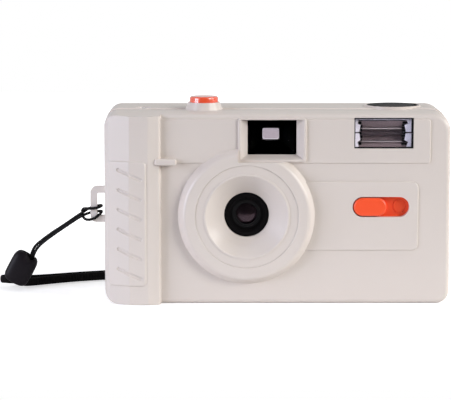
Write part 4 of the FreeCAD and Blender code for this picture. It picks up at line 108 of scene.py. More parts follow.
def noise(tree: NodeTree, place: NodeSocket, size_mm: float, detail: float,
          roughness: float = 0.5) -> NodeSocket:
    """Adds a noise pattern of a real size.

    Args:
        tree: nodes to add to.
        place: coordinates on the piece, in metres.
        size_mm: size of one grain of the pattern.
        detail: finer layers on top of it.
        roughness: how strong the finer layers are.

    Returns:
        Value output.
    """
    return add_node(tree, "TexNoise",
                    {"Scale": 1 / (size_mm * MM), "Detail": detail, "Roughness": roughness},
                    {"Vector": place}).outputs["Fac"]


# Light in plastic: its reach by channel, its depth, and the share that clear pieces pass to their shadow
SCATTER = (1.0, 0.8, 0.6)
SCATTER_MM = 0.8
CLEAR_SHARE = 0.9
# Size of a colour's clouding and of worn patches, and how far the roughness wanders in those
CLOUD_MM = 14
WEAR_MM = 5
WEAR_SHARE = 0.12
# Brushed scratches are drawn out along X
BRUSH_STRETCH = (0.04, 1.0, 1.0)


@dataclass(frozen=True)
class Finish:
    """A real material and how its surface was made.

    Sizes of the surface's pattern are in millimetres.
    """

    name: str
    colour: str
    texture: Texture = Texture.SATIN
    roughness: float = 0.45
    metallic: float = 0.0
    ior: float = 1.5
    specular: float = 0.5
    coat: float = 0.0
    transmission: float = 0.0
    sheen: float = 0.0
    subsurface: float = 0.0
    tint: str = "#ffffff"
    lets_light: bool = False
    grain_mm: float = 0.6
    grain_depth_mm: float = 0.002
    variation: float = 0.04

    def material(self) -> Material:
        """Builds the material, or returns the one already built."""
        made = bpy.data.materials.get(self.name)
        if made is not None:
            return made
        made = bpy.data.materials.new(self.name)
        made.use_nodes = True
        tree = made.node_tree
        shader = tree.nodes["Principled BSDF"]
        for socket, value in (("Metallic", self.metallic), ("Specular IOR Level", self.specular),
                              ("Coat Weight", self.coat), ("Transmission Weight", self.transmission),
                              ("Sheen Weight", self.sheen), ("Subsurface Weight", self.subsurface),
                              ("Specular Tint", linear(self.tint))):
            shader.inputs[socket].default_value = value
        if self.metallic < 0.5:
            shader.inputs["IOR"].default_value = self.ior
        if self.subsurface > 0:
            shader.inputs["Subsurface Radius"].default_value = SCATTER
            shader.inputs["Subsurface Scale"].default_value = SCATTER_MM * MM
        place = add_node(tree, "TexCoord").outputs["Object"]
        tree.links.new(self.colour_pattern(tree, place), shader.inputs["Base Color"])
        wear = add_node(tree, "MapRange", {"To Min": self.roughness * (1 - WEAR_SHARE),
                                           "To Max": min(self.roughness * (1 + WEAR_SHARE), 1.0)},
                        {"Value": noise(tree, place, WEAR_MM, 2.0)})
        tree.links.new(wear.outputs["Result"], shader.inputs["Roughness"])
        height = self.height_pattern(tree, place)
        if height is not None:
            bump = add_node(tree, "Bump", {"Distance": self.grain_depth_mm * MM, "Strength": 1.0},
                            {"Height": height})
            tree.links.new(bump.outputs["Normal"], shader.inputs["Normal"])
        if self.lets_light:
            rays = add_node(tree, "LightPath")
            clear = add_node(tree, "BsdfTransparent", {"Color": (CLEAR_SHARE,) * 3 + (1.0,)})
            mixed = add_node(tree, "MixShader", links={0: rays.outputs["Is Shadow Ray"],
                                                       1: shader.outputs["BSDF"],
                                                       2: clear.outputs["BSDF"]})
            tree.links.new(mixed.outputs["Shader"], tree.nodes["Material Output"].inputs["Surface"])
        return made

    def colour_pattern(self, tree: NodeTree, place: NodeSocket) -> NodeSocket:
        """Base colour with the slight clouding of a real moulding or sheet.

        Args:
            tree: the material's nodes.
            place: coordinates on the piece, in metres.

        Returns:
            Colour output.
        """
        base = linear(self.colour)
        blend = add_node(tree, "Mix", {"data_type": "RGBA"},
                         {"Factor": noise(tree, place, CLOUD_MM, 3.0, 0.55)})
        for socket, share in (("A", 1 - self.variation), ("B", 1 + self.variation)):
            blend.inputs[socket].default_value = tuple(min(c * share, 1.0) for c in base[:3]) + (1.0,)
        return blend.outputs["Result"]

    def height_pattern(self, tree: NodeTree, place: NodeSocket) -> NodeSocket | None:
        """Relief left by the tool, mould or loom.

        Args:
            tree: the material's nodes.
            place: coordinates on the piece, in metres.

        Returns:
            Height output, or None for a polished surface.
        """
        if self.texture is Texture.POLISHED:
            return None
        if self.texture is Texture.BRUSHED:
            stretched = add_node(tree, "Mapping", {"Scale": BRUSH_STRETCH}, {"Vector": place})
            return noise(tree, stretched.outputs["Vector"], self.grain_mm, 2.0)
        if self.texture is Texture.FOAMED:
            return add_node(tree, "TexVoronoi", {"Scale": 1 / (self.grain_mm * MM)},
                            {"Vector": place}).outputs["Distance"]
        return noise(tree, place, self.grain_mm, 4.0, 0.6)


# Injection moulded ABS from a spark eroded mould: soft highlight, faint grit
CREAM_ABS = Finish("cream moulded ABS", "#dcd2ca", Texture.SPARK, roughness=0.32, ior=1.54, subsurface=0.05,
                   grain_mm=0.7, grain_depth_mm=0.008, variation=0.012)
# Moulded nylon of the lug, less glossy than the shell; its colour is set lighter than the shell's as painted
# light, for a lug that the case keeps from the key lamp
CREAM_NYLON = Finish("cream moulded nylon", "#eee6df", roughness=0.4, ior=1.53, subsurface=0.05,
                     grain_depth_mm=0.004, variation=0.015)
# Black moulded ABS: deep grey under broad light
BLACK_ABS = Finish("black moulded ABS", "#121113", Texture.SPARK, roughness=0.34, specular=0.35,
                   grain_depth_mm=0.006)
# Moulded with a flat finish against stray light
FLAT_BLACK_ABS = Finish("flat black moulded ABS", "#0c0b0c", Texture.SPARK, roughness=0.6, specular=0.2,
                        grain_mm=0.4, grain_depth_mm=0.02)
# Sprayed dead black against reflections
TUNNEL_ABS = Finish("dead black sprayed moulded ABS", "#050405", roughness=0.8, specular=0.0,
                    grain_depth_mm=0.001)
# Black moulding with a dry, worn surface
KNOB_ABS = Finish("dry black moulded ABS", "#0d0b0c", Texture.SPARK, roughness=0.5, specular=0.08,
                  grain_depth_mm=0.012)
# Black polyamide of the bead: dry, slightly purple
BLACK_POLYAMIDE = Finish("black moulded polyamide", "#130d13", roughness=0.5, specular=0.22,
                         grain_depth_mm=0.006)
# Braided polyester band: matt black
BLACK_WEAVE = Finish("black braided polyester", "#080607", Texture.WOVEN, roughness=0.72, specular=0.15,
                     grain_mm=0.35, grain_depth_mm=0.05)
# Laid polyester cord, a little smoother
BLACK_CORD = Finish("black laid polyester", "#0a090a", Texture.WOVEN, roughness=0.6, specular=0.2,
                    grain_mm=0.25, grain_depth_mm=0.03)
# Orange moulded ABS: satin, with light in its edges
ORANGE_ABS = Finish("orange moulded ABS", "#ff582e", roughness=0.33, ior=1.54, subsurface=0.08,
                    grain_depth_mm=0.003, variation=0.01)
# The same ABS polished by the finger, so that its top catches the light
BUTTON_ABS = Finish("polished orange moulded ABS", "#ff5c34", roughness=0.26, ior=1.6, specular=1.0, coat=1.0,
                    subsurface=0.08, grain_depth_mm=0.001, variation=0.01)
# White acetal: waxy
WHITE_ACETAL = Finish("white moulded acetal", "#e9e7df", roughness=0.3, ior=1.48, subsurface=0.05)
# Clear moulded acrylic: faint cool tint in its thickness
CLEAR_ACRYLIC = Finish("clear moulded acrylic", "#f2f0f6", Texture.POLISHED, roughness=0.02, ior=1.49,
                       transmission=1.0, variation=0.0, lets_light=True)
# Coated acrylic of the viewfinder, which reflects little
FINDER_ACRYLIC = Finish("viewfinder acrylic", "#e6e0e6", Texture.POLISHED, roughness=0.01, ior=1.49,
                        tint="#0c0c0c", transmission=1.0, variation=0.0)
# The same in the small rear glass, with a lavender tint
EYE_ACRYLIC = replace(FINDER_ACRYLIC, name="tinted viewfinder acrylic", colour="#c3bcc2")
# Coated lens: dark, with a purple bloom
COATED_GLASS = Finish("coated lens glass", "#9c8a98", Texture.POLISHED, roughness=0.22, ior=1.65,
                      transmission=1.0, variation=0.0, tint="#ffdcea")
# Thin gas tube of borosilicate glass
TUBE_GLASS = Finish("borosilicate tube", "#f5f7fb", Texture.POLISHED, roughness=0.02, ior=1.47,
                    transmission=1.0, variation=0.0)
# Metallised sheet of the trough, dulled by its lacquer
TROUGH_METAL = Finish("lacquered metallised sheet", "#958483", Texture.BRUSHED, roughness=0.35, metallic=0.3,
                      grain_mm=0.25, grain_depth_mm=0.003)
# The same lacquered sheet in a lighter colour for the pressed beads: a painted highlight along the creases
TROUGH_HIGHLIGHT = Finish("lacquered sheet lightened as painted highlight", "#bdb1ad", Texture.BRUSHED, roughness=0.3, metallic=0.2,
                     grain_mm=0.25)
# White moulded ABS of the flaps beside the tube
WHITE_ABS = Finish("white moulded ABS", "#e8e4e8", roughness=0.35, variation=0.01)
# Nickel plated steel of screws and pins
PLATED_STEEL = Finish("nickel plated steel", "#b9b8b6", Texture.BRUSHED, roughness=0.25, metallic=1.0,
                      grain_mm=0.3)
# Spring steel with a thin film of oil
SPRING_STEEL = replace(PLATED_STEEL, name="oiled spring steel", colour="#8f8e8c", roughness=0.28,
                       grain_mm=0.2)
# Steel sheet, chemically blackened, with a worn sheen
BLACK_STEEL = Finish("blackened steel sheet", "#201f22", Texture.BRUSHED, roughness=0.42, metallic=0.6,
                     grain_mm=0.3, grain_depth_mm=0.003)
# Phosphor bronze strip
BRONZE = replace(PLATED_STEEL, name="phosphor bronze strip", colour="#c79a5c", roughness=0.28)
# Glass fibre laminate under green lacquer
GREEN_LAMINATE = Finish("lacquered glass fibre laminate", "#1f5f33", roughness=0.35, coat=0.3, grain_mm=1.2,
                        grain_depth_mm=0.01, variation=0.08)
# Open cell foam strip
BLACK_FOAM = Finish("open cell foam", "#161516", Texture.FOAMED, roughness=0.95, grain_mm=0.4,
                    grain_depth_mm=0.08, sheen=0.2)
# Silicone rubber of wires and sleeves
RED_SILICONE = Finish("red silicone rubber", "#b02a22", roughness=0.5)
# Shrink film of the dry cell
CELL_FILM = Finish("printed cell film", "#3f5470", roughness=0.3, coat=0.4)
# Shrink sleeve of the capacitor
CAPACITOR_FILM = Finish("capacitor shrink sleeve", "#1c2438", roughness=0.32, coat=0.2)
# Ferrite core under tape and varnish
FERRITE = Finish("varnished ferrite", "#38352f", Texture.SPARK, roughness=0.4, coat=0.2, grain_mm=0.5,
                 grain_depth_mm=0.01)
# Red tinted acrylic of the lamp
LAMP_RED = Finish("red tinted acrylic", "#c0241a", Texture.POLISHED, roughness=0.12, ior=1.49,
                  transmission=0.4)

CAD_FINISHES: dict[Finish, tuple[str, ...]] = {
    CREAM_ABS: ("front_cover", "middle_cover", "back_door", "lens_bezel", "battery_door", "door_latch"),
    CREAM_NYLON: ("strap_lug",),
    BLACK_ABS: ("thumb_wheel", "rewind_sleeve", "rewind_shaft", "take_up_spool", "sprocket_shaft"),
    KNOB_ABS: ("lens_barrel", "rewind_knob", "rewind_crank", "crank_handle"),
    FLAT_BLACK_ABS: ("chassis",),
    TUNNEL_ABS: ("finder_tunnel",),
    WHITE_ACETAL: ("release_lever", "counter_dial"),
    ORANGE_ABS: ("flash_slider",),
    BUTTON_ABS: ("shutter_button",),
    CLEAR_ACRYLIC: ("counter_window", "door_window"),
    TUBE_GLASS: ("flash_tube",),
    PLATED_STEEL: ("hinge_pin", "battery_door_pin", "crank_pin", "case_screws", "shutter_screws",
                   "battery_contacts"),
    SPRING_STEEL: ("latch_spring", "button_spring", "shutter_spring", "pressure_spring"),
    BLACK_STEEL: ("pressure_plate", "shutter_blade", "shutter_plate", "aperture_disc"),
    BRONZE: ("slider_contact",),
    GREEN_LAMINATE: ("flash_circuit_board",),
    BLACK_FOAM: ("window_seal", "door_light_seal"),
    RED_SILICONE: ("tube_sleeves", "battery_leads"),
    CELL_FILM: ("battery",),
    CAPACITOR_FILM: ("main_capacitor",),
    FERRITE: ("flash_transformer",),
    LAMP_RED: ("ready_lamp",),
}


def new_object(name: str, data: bpy.types.ID) -> Object:
    """Makes an object and links it to the scene.

    Args:
        name: name of the object and of its data.
        data: its mesh, lamp or camera.

    Returns:
        The object.
    """
    data.name = name
    made = bpy.data.objects.new(name, data)
    bpy.context.scene.collection.objects.link(made)
    return made


def new_piece(name: str, mesh: Mesh, finish: Finish, body: str = "case") -> Object:
    """Puts a mesh into the scene as a piece that rides on a body.

    Args:
        name: piece name.
        mesh: its mesh, in metres, in place.
        finish: its finish.
        body: CAD body that carries it.

    Returns:
        The new object.
    """
    piece = new_object(name, mesh)
    mesh.materials.append(finish.material())
    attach(piece, body)
    log.info("%s: %s, %d faces", name, finish.name, len(mesh.polygons))
    return piece


# Steps between two control points of a cord, and the order of its spline
CURVE_STEPS = 16
CURVE_ORDER = 3


def route_line(name: str, route_mm: tuple[Place, ...]) -> list[Vector]:
    """Reads the smooth line of a NURBS spline through given control points.

    Args:
        name: name of the line.
        route_mm: control points.

    Returns:
        Points along the line, in metres.
    """
    curve = bpy.data.curves.new(name, "CURVE")
    curve.dimensions = "3D"
    curve.resolution_u = CURVE_STEPS
    spline = curve.splines.new("NURBS")
    spline.points.add(len(route_mm) - 1)
    for point, place in zip(spline.points, route_mm):
        point.co = (place[0] * MM, place[1] * MM, place[2] * MM, 1.0)
    spline.order_u = CURVE_ORDER
    spline.use_endpoint_u = True
    holder = bpy.data.objects.new(name, curve)
    line = bpy.data.meshes.new_from_object(holder)
    points = [vertex.co.copy() for vertex in line.vertices]
    bpy.data.objects.remove(holder)
    bpy.data.curves.remove(curve)
    bpy.data.meshes.remove(line)
    return points


def even_points(line: list[Vector], step: float) -> list[Vector]:
    """Places points at even spacing along a line.

    Args:
        line: points along the line.
        step: wanted spacing, in metres.

    Returns:
        Evenly spaced points, with both ends kept.
    """
    lengths = [0.0]
    for a, b in zip(line, line[1:]):
        lengths.append(lengths[-1] + (b - a).length)
    count = max(int(round(lengths[-1] / step)), 2)
    points, k = [], 0
    for i in range(count + 1):
        along = lengths[-1] * i / count
        while k < len(line) - 2 and lengths[k + 1] < along:
            k += 1
        run = lengths[k + 1] - lengths[k]
        points.append(line[k].lerp(line[k + 1], (along - lengths[k]) / run if run > 0 else 0.0))
    return points


def line_length(line: list[Vector]) -> float:
    """Adds up the runs of a line.

    Args:
        line: points along the line.

    Returns:
        Length, in metres.
    """
    return sum((b - a).length for a, b in zip(line, line[1:]))


def solid_mesh(verts: list[Vector], faces: Faces) -> Mesh:
    """Makes a mesh from its points and faces.

    Args:
        verts: points, in metres.
        faces: point numbers of each face.

    Returns:
        The mesh.
    """
    mesh = bpy.data.meshes.new("solid")
    mesh.from_pydata(verts, [], faces)
    mesh.validate()
    return mesh


def ringed_faces(rings: int, count: int, looped: bool = False) -> Faces:
    """Faces of a solid made of rings of points.

    Args:
        rings: number of rings.
        count: points in each ring.
        looped: joins the last ring to the first; otherwise both ends are closed.

    Returns:
        The faces.
    """
    faces: Faces = []
    for ring in range(rings if looped else rings - 1):
        a, b = ring * count, (ring + 1) % rings * count
        faces += [(a + i, a + (i + 1) % count, b + (i + 1) % count, b + i) for i in range(count)]
    if not looped:
        faces += [tuple(range(count - 1, -1, -1)), tuple(range((rings - 1) * count, rings * count))]
    return faces


def swept_mesh(points: list[Vector], section: Callable[[float], Outline], upright: bool) -> Mesh:
    """Carries a changing section along a line.

    Args:
        points: evenly spaced points of the line.
        section: section points (across, up) for a distance along the line, in metres.
        upright: keeps the section's up side vertical; otherwise it turns as little as it can.

    Returns:
        Closed mesh.
    """
    verts: list[Vector] = []
    step = (points[1] - points[0]).length
    side = None
    for i, point in enumerate(points):
        ahead = (points[min(i + 1, len(points) - 1)] - points[max(i - 1, 0)]).normalized()
        if upright:
            side = ahead.cross(Vector((0, 0, 1))).normalized()
        elif side is None:
            side = ahead.orthogonal().normalized()
        else:
            side = (side - ahead * side.dot(ahead)).normalized()
        up = side.cross(ahead)
        verts.extend(point + side * a + up * b for a, b in section(i * step))
    size = len(verts) // len(points)
    return solid_mesh(verts, ringed_faces(len(points), size))


def ball(radius: float, x: float, z: float) -> float:
    """Depth of a ball's surface behind its foremost point.

    Args:
        radius: radius of the ball.
        x: distance from the axis to the right.
        z: distance from the axis upwards.

    Returns:
        The depth.
    """
    return radius - math.sqrt(radius ** 2 - x * x - z * z)


# Keeps the four quarters of a circle from sharing points
CIRCLE_SLACK_MM = 0.001


def rounded_outline(width: float, height: float, corner: float, steps: int = 6) -> Outline:
    """Corner-rounded rectangle round the origin, anticlockwise.

    Args:
        width: full width.
        height: full height.
        corner: corner radius.
        steps: points of each corner, less one.

    Returns:
        Outline points.
    """
    points = []
    for k, (sx, sy) in enumerate(((1, 1), (-1, 1), (-1, -1), (1, -1))):
        for i in range(steps + 1):
            angle = math.pi / 2 * (k + i / steps)
            points.append((sx * (width / 2 - corner) + corner * math.cos(angle),
                           sy * (height / 2 - corner) + corner * math.sin(angle)))
    return points


def circle_outline(radius: float, steps: int) -> Outline:
    """Circle round the origin.

    Args:
        radius: radius, in millimetres.
        steps: points of each quarter, less one.

    Returns:
        Outline points.
    """
    return rounded_outline(2 * radius, 2 * radius, radius - CIRCLE_SLACK_MM, steps)


def finely(outline: Outline, step: float = 0.7) -> Outline:
    """Adds points to the long sides of a closed outline.

    Args:
        outline: outline points.
        step: longest run that is left between two points.

    Returns:
        The finer outline.
    """
    points = []
    for (x0, z0), (x1, z1) in zip(outline, outline[1:] + outline[:1]):
        parts = max(math.ceil(math.hypot(x1 - x0, z1 - z0) / step), 1)
        points += [(x0 + (x1 - x0) * i / parts, z0 + (z1 - z0) * i / parts) for i in range(parts)]
    return points


def lens_mesh(centre: Place, outline: Outline, front: Face, back: Face, rings: int = 14) -> Mesh:
    """Closed glass between two curved faces, with its axis along Y.

    Args:
        centre: place of the middle, in millimetres.
        outline: edge points (x, z) round the middle, in millimetres.
        front: front face's y for (x, z) from the middle.
        back: back face's y for (x, z) from the middle.
        rings: rings from middle to edge.

    Returns:
        The mesh.
    """
    outline = finely(outline)
    count = len(outline)
    verts: list[Vector] = []
    faces: Faces = []
    cx, cy, cz = centre
    for face, turn in ((front, 1), (back, -1)):
        start = len(verts)
        verts.append(Vector((cx, cy + face(0, 0), cz)) * MM)
        for r in range(1, rings + 1):
            for x, z in outline:
                a, b = x * r / rings, z * r / rings
                verts.append(Vector((cx + a, cy + face(a, b), cz + b)) * MM)
        for i in range(count):
            j = (i + 1) % count
            faces.append((start, start + 1 + i, start + 1 + j)[::turn])
            for r in range(rings - 1):
                a, b = start + 1 + r * count, start + 1 + (r + 1) * count
                faces.append((a + i, b + i, b + j, a + j)[::turn])
    near, far = 1 + (rings - 1) * count, 2 + rings * count + (rings - 1) * count
    for i in range(count):
        j = (i + 1) % count
        faces.append((near + j, near + i, far + i, far + j))
    mesh = solid_mesh(verts, faces)
    smooth(mesh, angle_deg=40)
    return mesh


def tube_mesh(centre: Place, outer: Outline, inner: Outline, depth: float) -> Mesh:
    """Closed ring between two outlines, with its axis along Y.

    Args:
        centre: middle of the front face, in millimetres.
        outer: outer points (x, z) round the middle.
        inner: as many inner points.
        depth: length along Y.

    Returns:
        The mesh.
    """
    rings = ((outer, 0.0), (inner, 0.0), (inner, depth), (outer, depth))
    verts = [Vector((centre[0] + x, centre[1] + y, centre[2] + z)) * MM for line, y in rings for x, z in line]
    mesh = solid_mesh(verts, ringed_faces(len(rings), len(outer), looped=True))
    smooth(mesh)
    return mesh


def bar_mesh(section: Outline, x0: float, x1: float) -> Mesh:
    """Closed bar along X.

    Args:
        section: its (y, z) points in millimetres, clockwise seen from +X.
        x0: left end.
        x1: right end.

    Returns:
        The mesh.
    """
    count = len(section)
    verts = [Vector((x, y, z)) * MM for x in (x0, x1) for y, z in section]
    faces: Faces = [tuple(range(count)), tuple(range(2 * count - 1, count - 1, -1))]
    faces += [(i, count + i, count + (i + 1) % count, (i + 1) % count) for i in range(count)]
    return solid_mesh(verts, faces)


def joined(meshes: list[Mesh]) -> Mesh:
    """Puts several meshes into one.

    Args:
        meshes: meshes to join, which are used up.

    Returns:
        The joined mesh.
    """
    verts: list[Vector] = []
    faces: Faces = []
    for part in meshes:
        start = len(verts)
        verts += [v.co.copy() for v in part.vertices]
        faces += [tuple(start + i for i in face.vertices) for face in part.polygons]
        bpy.data.meshes.remove(part)
    return solid_mesh(verts, faces)


def smooth(mesh: Mesh, angle_deg: float = 35.0) -> None:
    """Shades a mesh smooth, keeping edges sharper than an angle.

    Args:
        mesh: the mesh.
        angle_deg: least angle of a hard edge.
    """
    mesh.shade_smooth()
    mesh.set_sharp_from_angle(angle=math.radians(angle_deg))


def maths(tree: NodeTree, operation: str, first: NodeSocket, second: NodeSocket | float) -> NodeSocket:
    """Adds a calculation with two values.

    Args:
        tree: nodes to add to.
        operation: Blender's name of it.
        first: first value.
        second: second value, linked or constant.

    Returns:
        Value output.
    """
    node = add_node(tree, "Math", {"operation": operation}, {0: first})
    if isinstance(second, NodeSocket):
        tree.links.new(second, node.inputs[1])
    else:
        node.inputs[1].default_value = second
    return node.outputs["Value"]


def directly_seen(tree: NodeTree) -> NodeSocket:
    """One for what the picture shows directly or through clear glass, zero for light that has bounced.

    Args:
        tree: nodes to add to.

    Returns:
        Value output.
    """
    rays = add_node(tree, "LightPath").outputs
    bounces = maths(tree, "ADD", rays["Diffuse Depth"], rays["Glossy Depth"])
    through = maths(tree, "MULTIPLY", rays["Is Transmission Ray"], maths(tree, "LESS_THAN", bounces, 0.5))
    return maths(tree, "MAXIMUM", rays["Is Camera Ray"], through)


@dataclass
class Studio:
    """Floor, lights and the camera of the photograph."""

    distance_mm: float = 700.0
    camera_z_mm: float = 125.0
    target_mm: Place = (-17.3, -14.0, 34.7)
    focal_px: float = 2094.0
    image_px: tuple[int, int] = (451, 400)
    sensor_mm: float = 36.0
    clip_m: Pair = (0.01, 50.0)
    lamp_aim_mm: Place = (0.0, 0.0, 32.0)
    # Half of the floor's width, its reach to the front and to the back, and its gap under the part
    floor_mm: Place = (900.0, 150.0, 900.0)
    floor_gap_mm: float = 0.1
    # The floor's glow near the part, and the distances between which it grows to full white
    near_glow: float = 0.5
    glow_mm: Pair = (90.0, 200.0)
    # Light of the surroundings in front and behind, and the directions (Y) between which it changes
    levels: Pair = (0.04, 0.62)
    turn_y: Pair = (-0.98, 0.8)

    def build(self) -> None:
        """Makes the floor, the world, the lamps and the camera."""
        self.floor()
        self.world()
        self.lamps()
        self.camera()

    def floor(self) -> None:
        """Plain pale floor that shows white to the camera and keeps the shadow."""
        half, front, back = (size * MM for size in self.floor_mm)
        low = -self.floor_gap_mm * MM
        corners = ((-half, -front), (half, -front), (half, back), (-half, back))
        mesh = solid_mesh([Vector((x, y, low)) for x, y in corners], [(0, 1, 2, 3)])
        plane = new_object("floor", mesh)
        paper = bpy.data.materials.new("white paper sweep")
        paper.use_nodes = True
        tree = paper.node_tree
        shader = tree.nodes["Principled BSDF"]
        for socket, value in (("Base Color", linear("#f4f4f4")), ("Roughness", 0.9),
                              ("Specular IOR Level", 0.1), ("Emission Color", WHITE)):
            shader.inputs[socket].default_value = value
        place = add_node(tree, "TexCoord").outputs["Object"]
        away = add_node(tree, "VectorMath", {"operation": "LENGTH"}, {0: place})
        near, far = (size * MM for size in self.glow_mm)
        glow = add_node(tree, "MapRange",
                        {"From Min": near, "From Max": far, "To Min": self.near_glow, "To Max": 1.0},
                        {"Value": away.outputs["Value"]})
        tree.links.new(maths(tree, "MULTIPLY", directly_seen(tree), glow.outputs["Result"]),
                       shader.inputs["Emission Strength"])
        mesh.materials.append(paper)

    def world(self) -> None:
        """White surroundings: full white where seen; as light, bright behind and dim in front."""
        world = bpy.data.worlds.new("white studio")
        bpy.context.scene.world = world
        world.use_nodes = True
        tree = world.node_tree
        tree.nodes.clear()
        way = add_node(tree, "TexCoord").outputs["Generated"]
        parts = add_node(tree, "SeparateXYZ", links={"Vector": way})
        lit = add_node(tree, "MapRange",
                       {"interpolation_type": "SMOOTHSTEP", "From Min": self.turn_y[0],
                        "From Max": self.turn_y[1], "To Min": self.levels[0], "To Max": self.levels[1]},
                       {"Value": parts.outputs["Y"]})
        light = add_node(tree, "Background", {"Color": WHITE},
                         {"Strength": maths(tree, "MAXIMUM", lit.outputs["Result"], directly_seen(tree))})
        add_node(tree, "OutputWorld", links={"Surface": light.outputs["Background"]})

    @staticmethod
    def aimed(thing: Object, place: Vector, target: Vector) -> None:
        """Puts a lamp or a camera in its place and aims it.

        Args:
            thing: the lamp or camera.
            place: its place, in metres.
            target: point that it is aimed at.
        """
        thing.location = place
        thing.rotation_euler = (target - place).to_track_quat("-Z", "Y").to_euler()

    def lamp(self, name: str, at_mm: Place, size_mm: Pair,
             watts: float, colour: str = "#ffffff") -> None:
        """Adds a soft box aimed at the camera's middle.

        Args:
            name: lamp name.
            at_mm: place.
            size_mm: width and height of the soft box.
            watts: power.
            colour: light colour.
        """
        data = bpy.data.lights.new(name, "AREA")
        data.shape = "RECTANGLE"
        data.size, data.size_y = (s * MM for s in size_mm)
        data.energy = watts
        data.color = linear(colour)[:3]
        self.aimed(new_object(name, data), Vector(at_mm) * MM, Vector(self.lamp_aim_mm) * MM)

    def lamps(self) -> None:
        """Key from the upper right, a strip beside it for the edges, cool fill from the left."""
        self.lamp("key", at_mm=(780, -600, 430), size_mm=(420, 420), watts=7.2)
        self.lamp("side", at_mm=(900, -120, 420), size_mm=(260, 400), watts=2.4)
        self.lamp("fill", at_mm=(-800, -420, 220), size_mm=(500, 500), watts=6.1, colour="#e9edff")

    def camera(self) -> None:
        """Long lens a little above the object, aimed at its front."""
        data = bpy.data.cameras.new("camera")
        data.sensor_fit = "HORIZONTAL"
        data.sensor_width = self.sensor_mm
        data.lens = self.focal_px / self.image_px[0] * self.sensor_mm
        data.clip_start, data.clip_end = self.clip_m
        target = Vector(self.target_mm) * MM
        place = Vector((target.x, target.y - self.distance_mm * MM, self.camera_z_mm * MM))
        camera = new_object("camera", data)
        self.aimed(camera, place, target)
        bpy.context.scene.camera = camera


# Control points of the thin cord, in millimetres: up from the bead, round the lug in a lark's head and back
CORD_ROUTE = (
    (-85.6, 11.0, 10.9), (-85.3, 10.8, 12.6), (-83.9, 10.0, 15.5), (-81.4, 9.0, 17.6), (-78.0, 7.4, 20.3),
    (-74.2, 5.5, 22.9), (-70.4, 3.2, 25.7), (-68.1, 1.0, 27.5), (-66.2, -0.2, 28.8), (-64.9, 1.2, 29.6),
    (-63.4, 2.15, 30.2), (-61.0, 1.95, 30.8), (-59.9, 1.0, 31.0), (-59.9, -0.9, 30.9), (-61.0, -1.95, 30.5),
    (-62.9, -2.0, 30.2), (-64.9, -1.7, 30.2), (-66.2, -0.4, 30.0), (-66.7, 1.1, 29.1), (-66.6, 1.1, 27.7),
    (-66.0, -0.4, 26.5), (-64.6, -1.8, 26.2), (-62.5, -2.0, 26.6), (-60.8, -2.05, 27.9), (-59.9, -0.9, 28.8),
    (-59.9, 1.0, 29.0), (-61.0, 2.0, 28.8), (-63.4, 2.15, 28.4), (-64.9, 1.2, 28.1), (-66.3, -0.2, 27.6),
    (-68.05, 1.0, 26.55), (-70.2, 3.2, 24.93), (-73.9, 5.5, 22.23), (-77.6, 7.4, 19.53), (-80.9, 9.0, 16.93),
    (-83.2, 10.0, 14.7), (-84.6, 10.8, 11.9), (-84.9, 11.2, 10.4))

# Control points of the woven band: out of the bead, along the floor behind the case and back
STRAP_ROUTE = (
    (-92.0, 10.6, 4.6), (-94.6, 11.2, 3.6), (-95.9, 13.0, 3.3), (-95.4, 15.8, 2.8), (-92.8, 18.6, 2.1),
    (-88.0, 21.4, 1.7), (-80.0, 24.8, 1.6), (-68.5, 30.6, 1.6), (-50.0, 36.6, 1.6), (-22.0, 42.0, 1.6),
    (8.0, 48.0, 1.6), (27.0, 54.0, 1.6), (38.0, 55.0, 1.6), (44.8, 48.4, 1.6), (41.0, 39.5, 1.6),
    (28.0, 36.6, 1.6), (6.0, 37.4, 1.6), (-22.0, 36.4, 1.6), (-48.0, 33.4, 1.6), (-66.0, 28.0, 1.6),
    (-77.5, 22.0, 1.6), (-84.5, 17.2, 1.6), (-88.6, 14.2, 1.8), (-91.0, 12.2, 2.9))


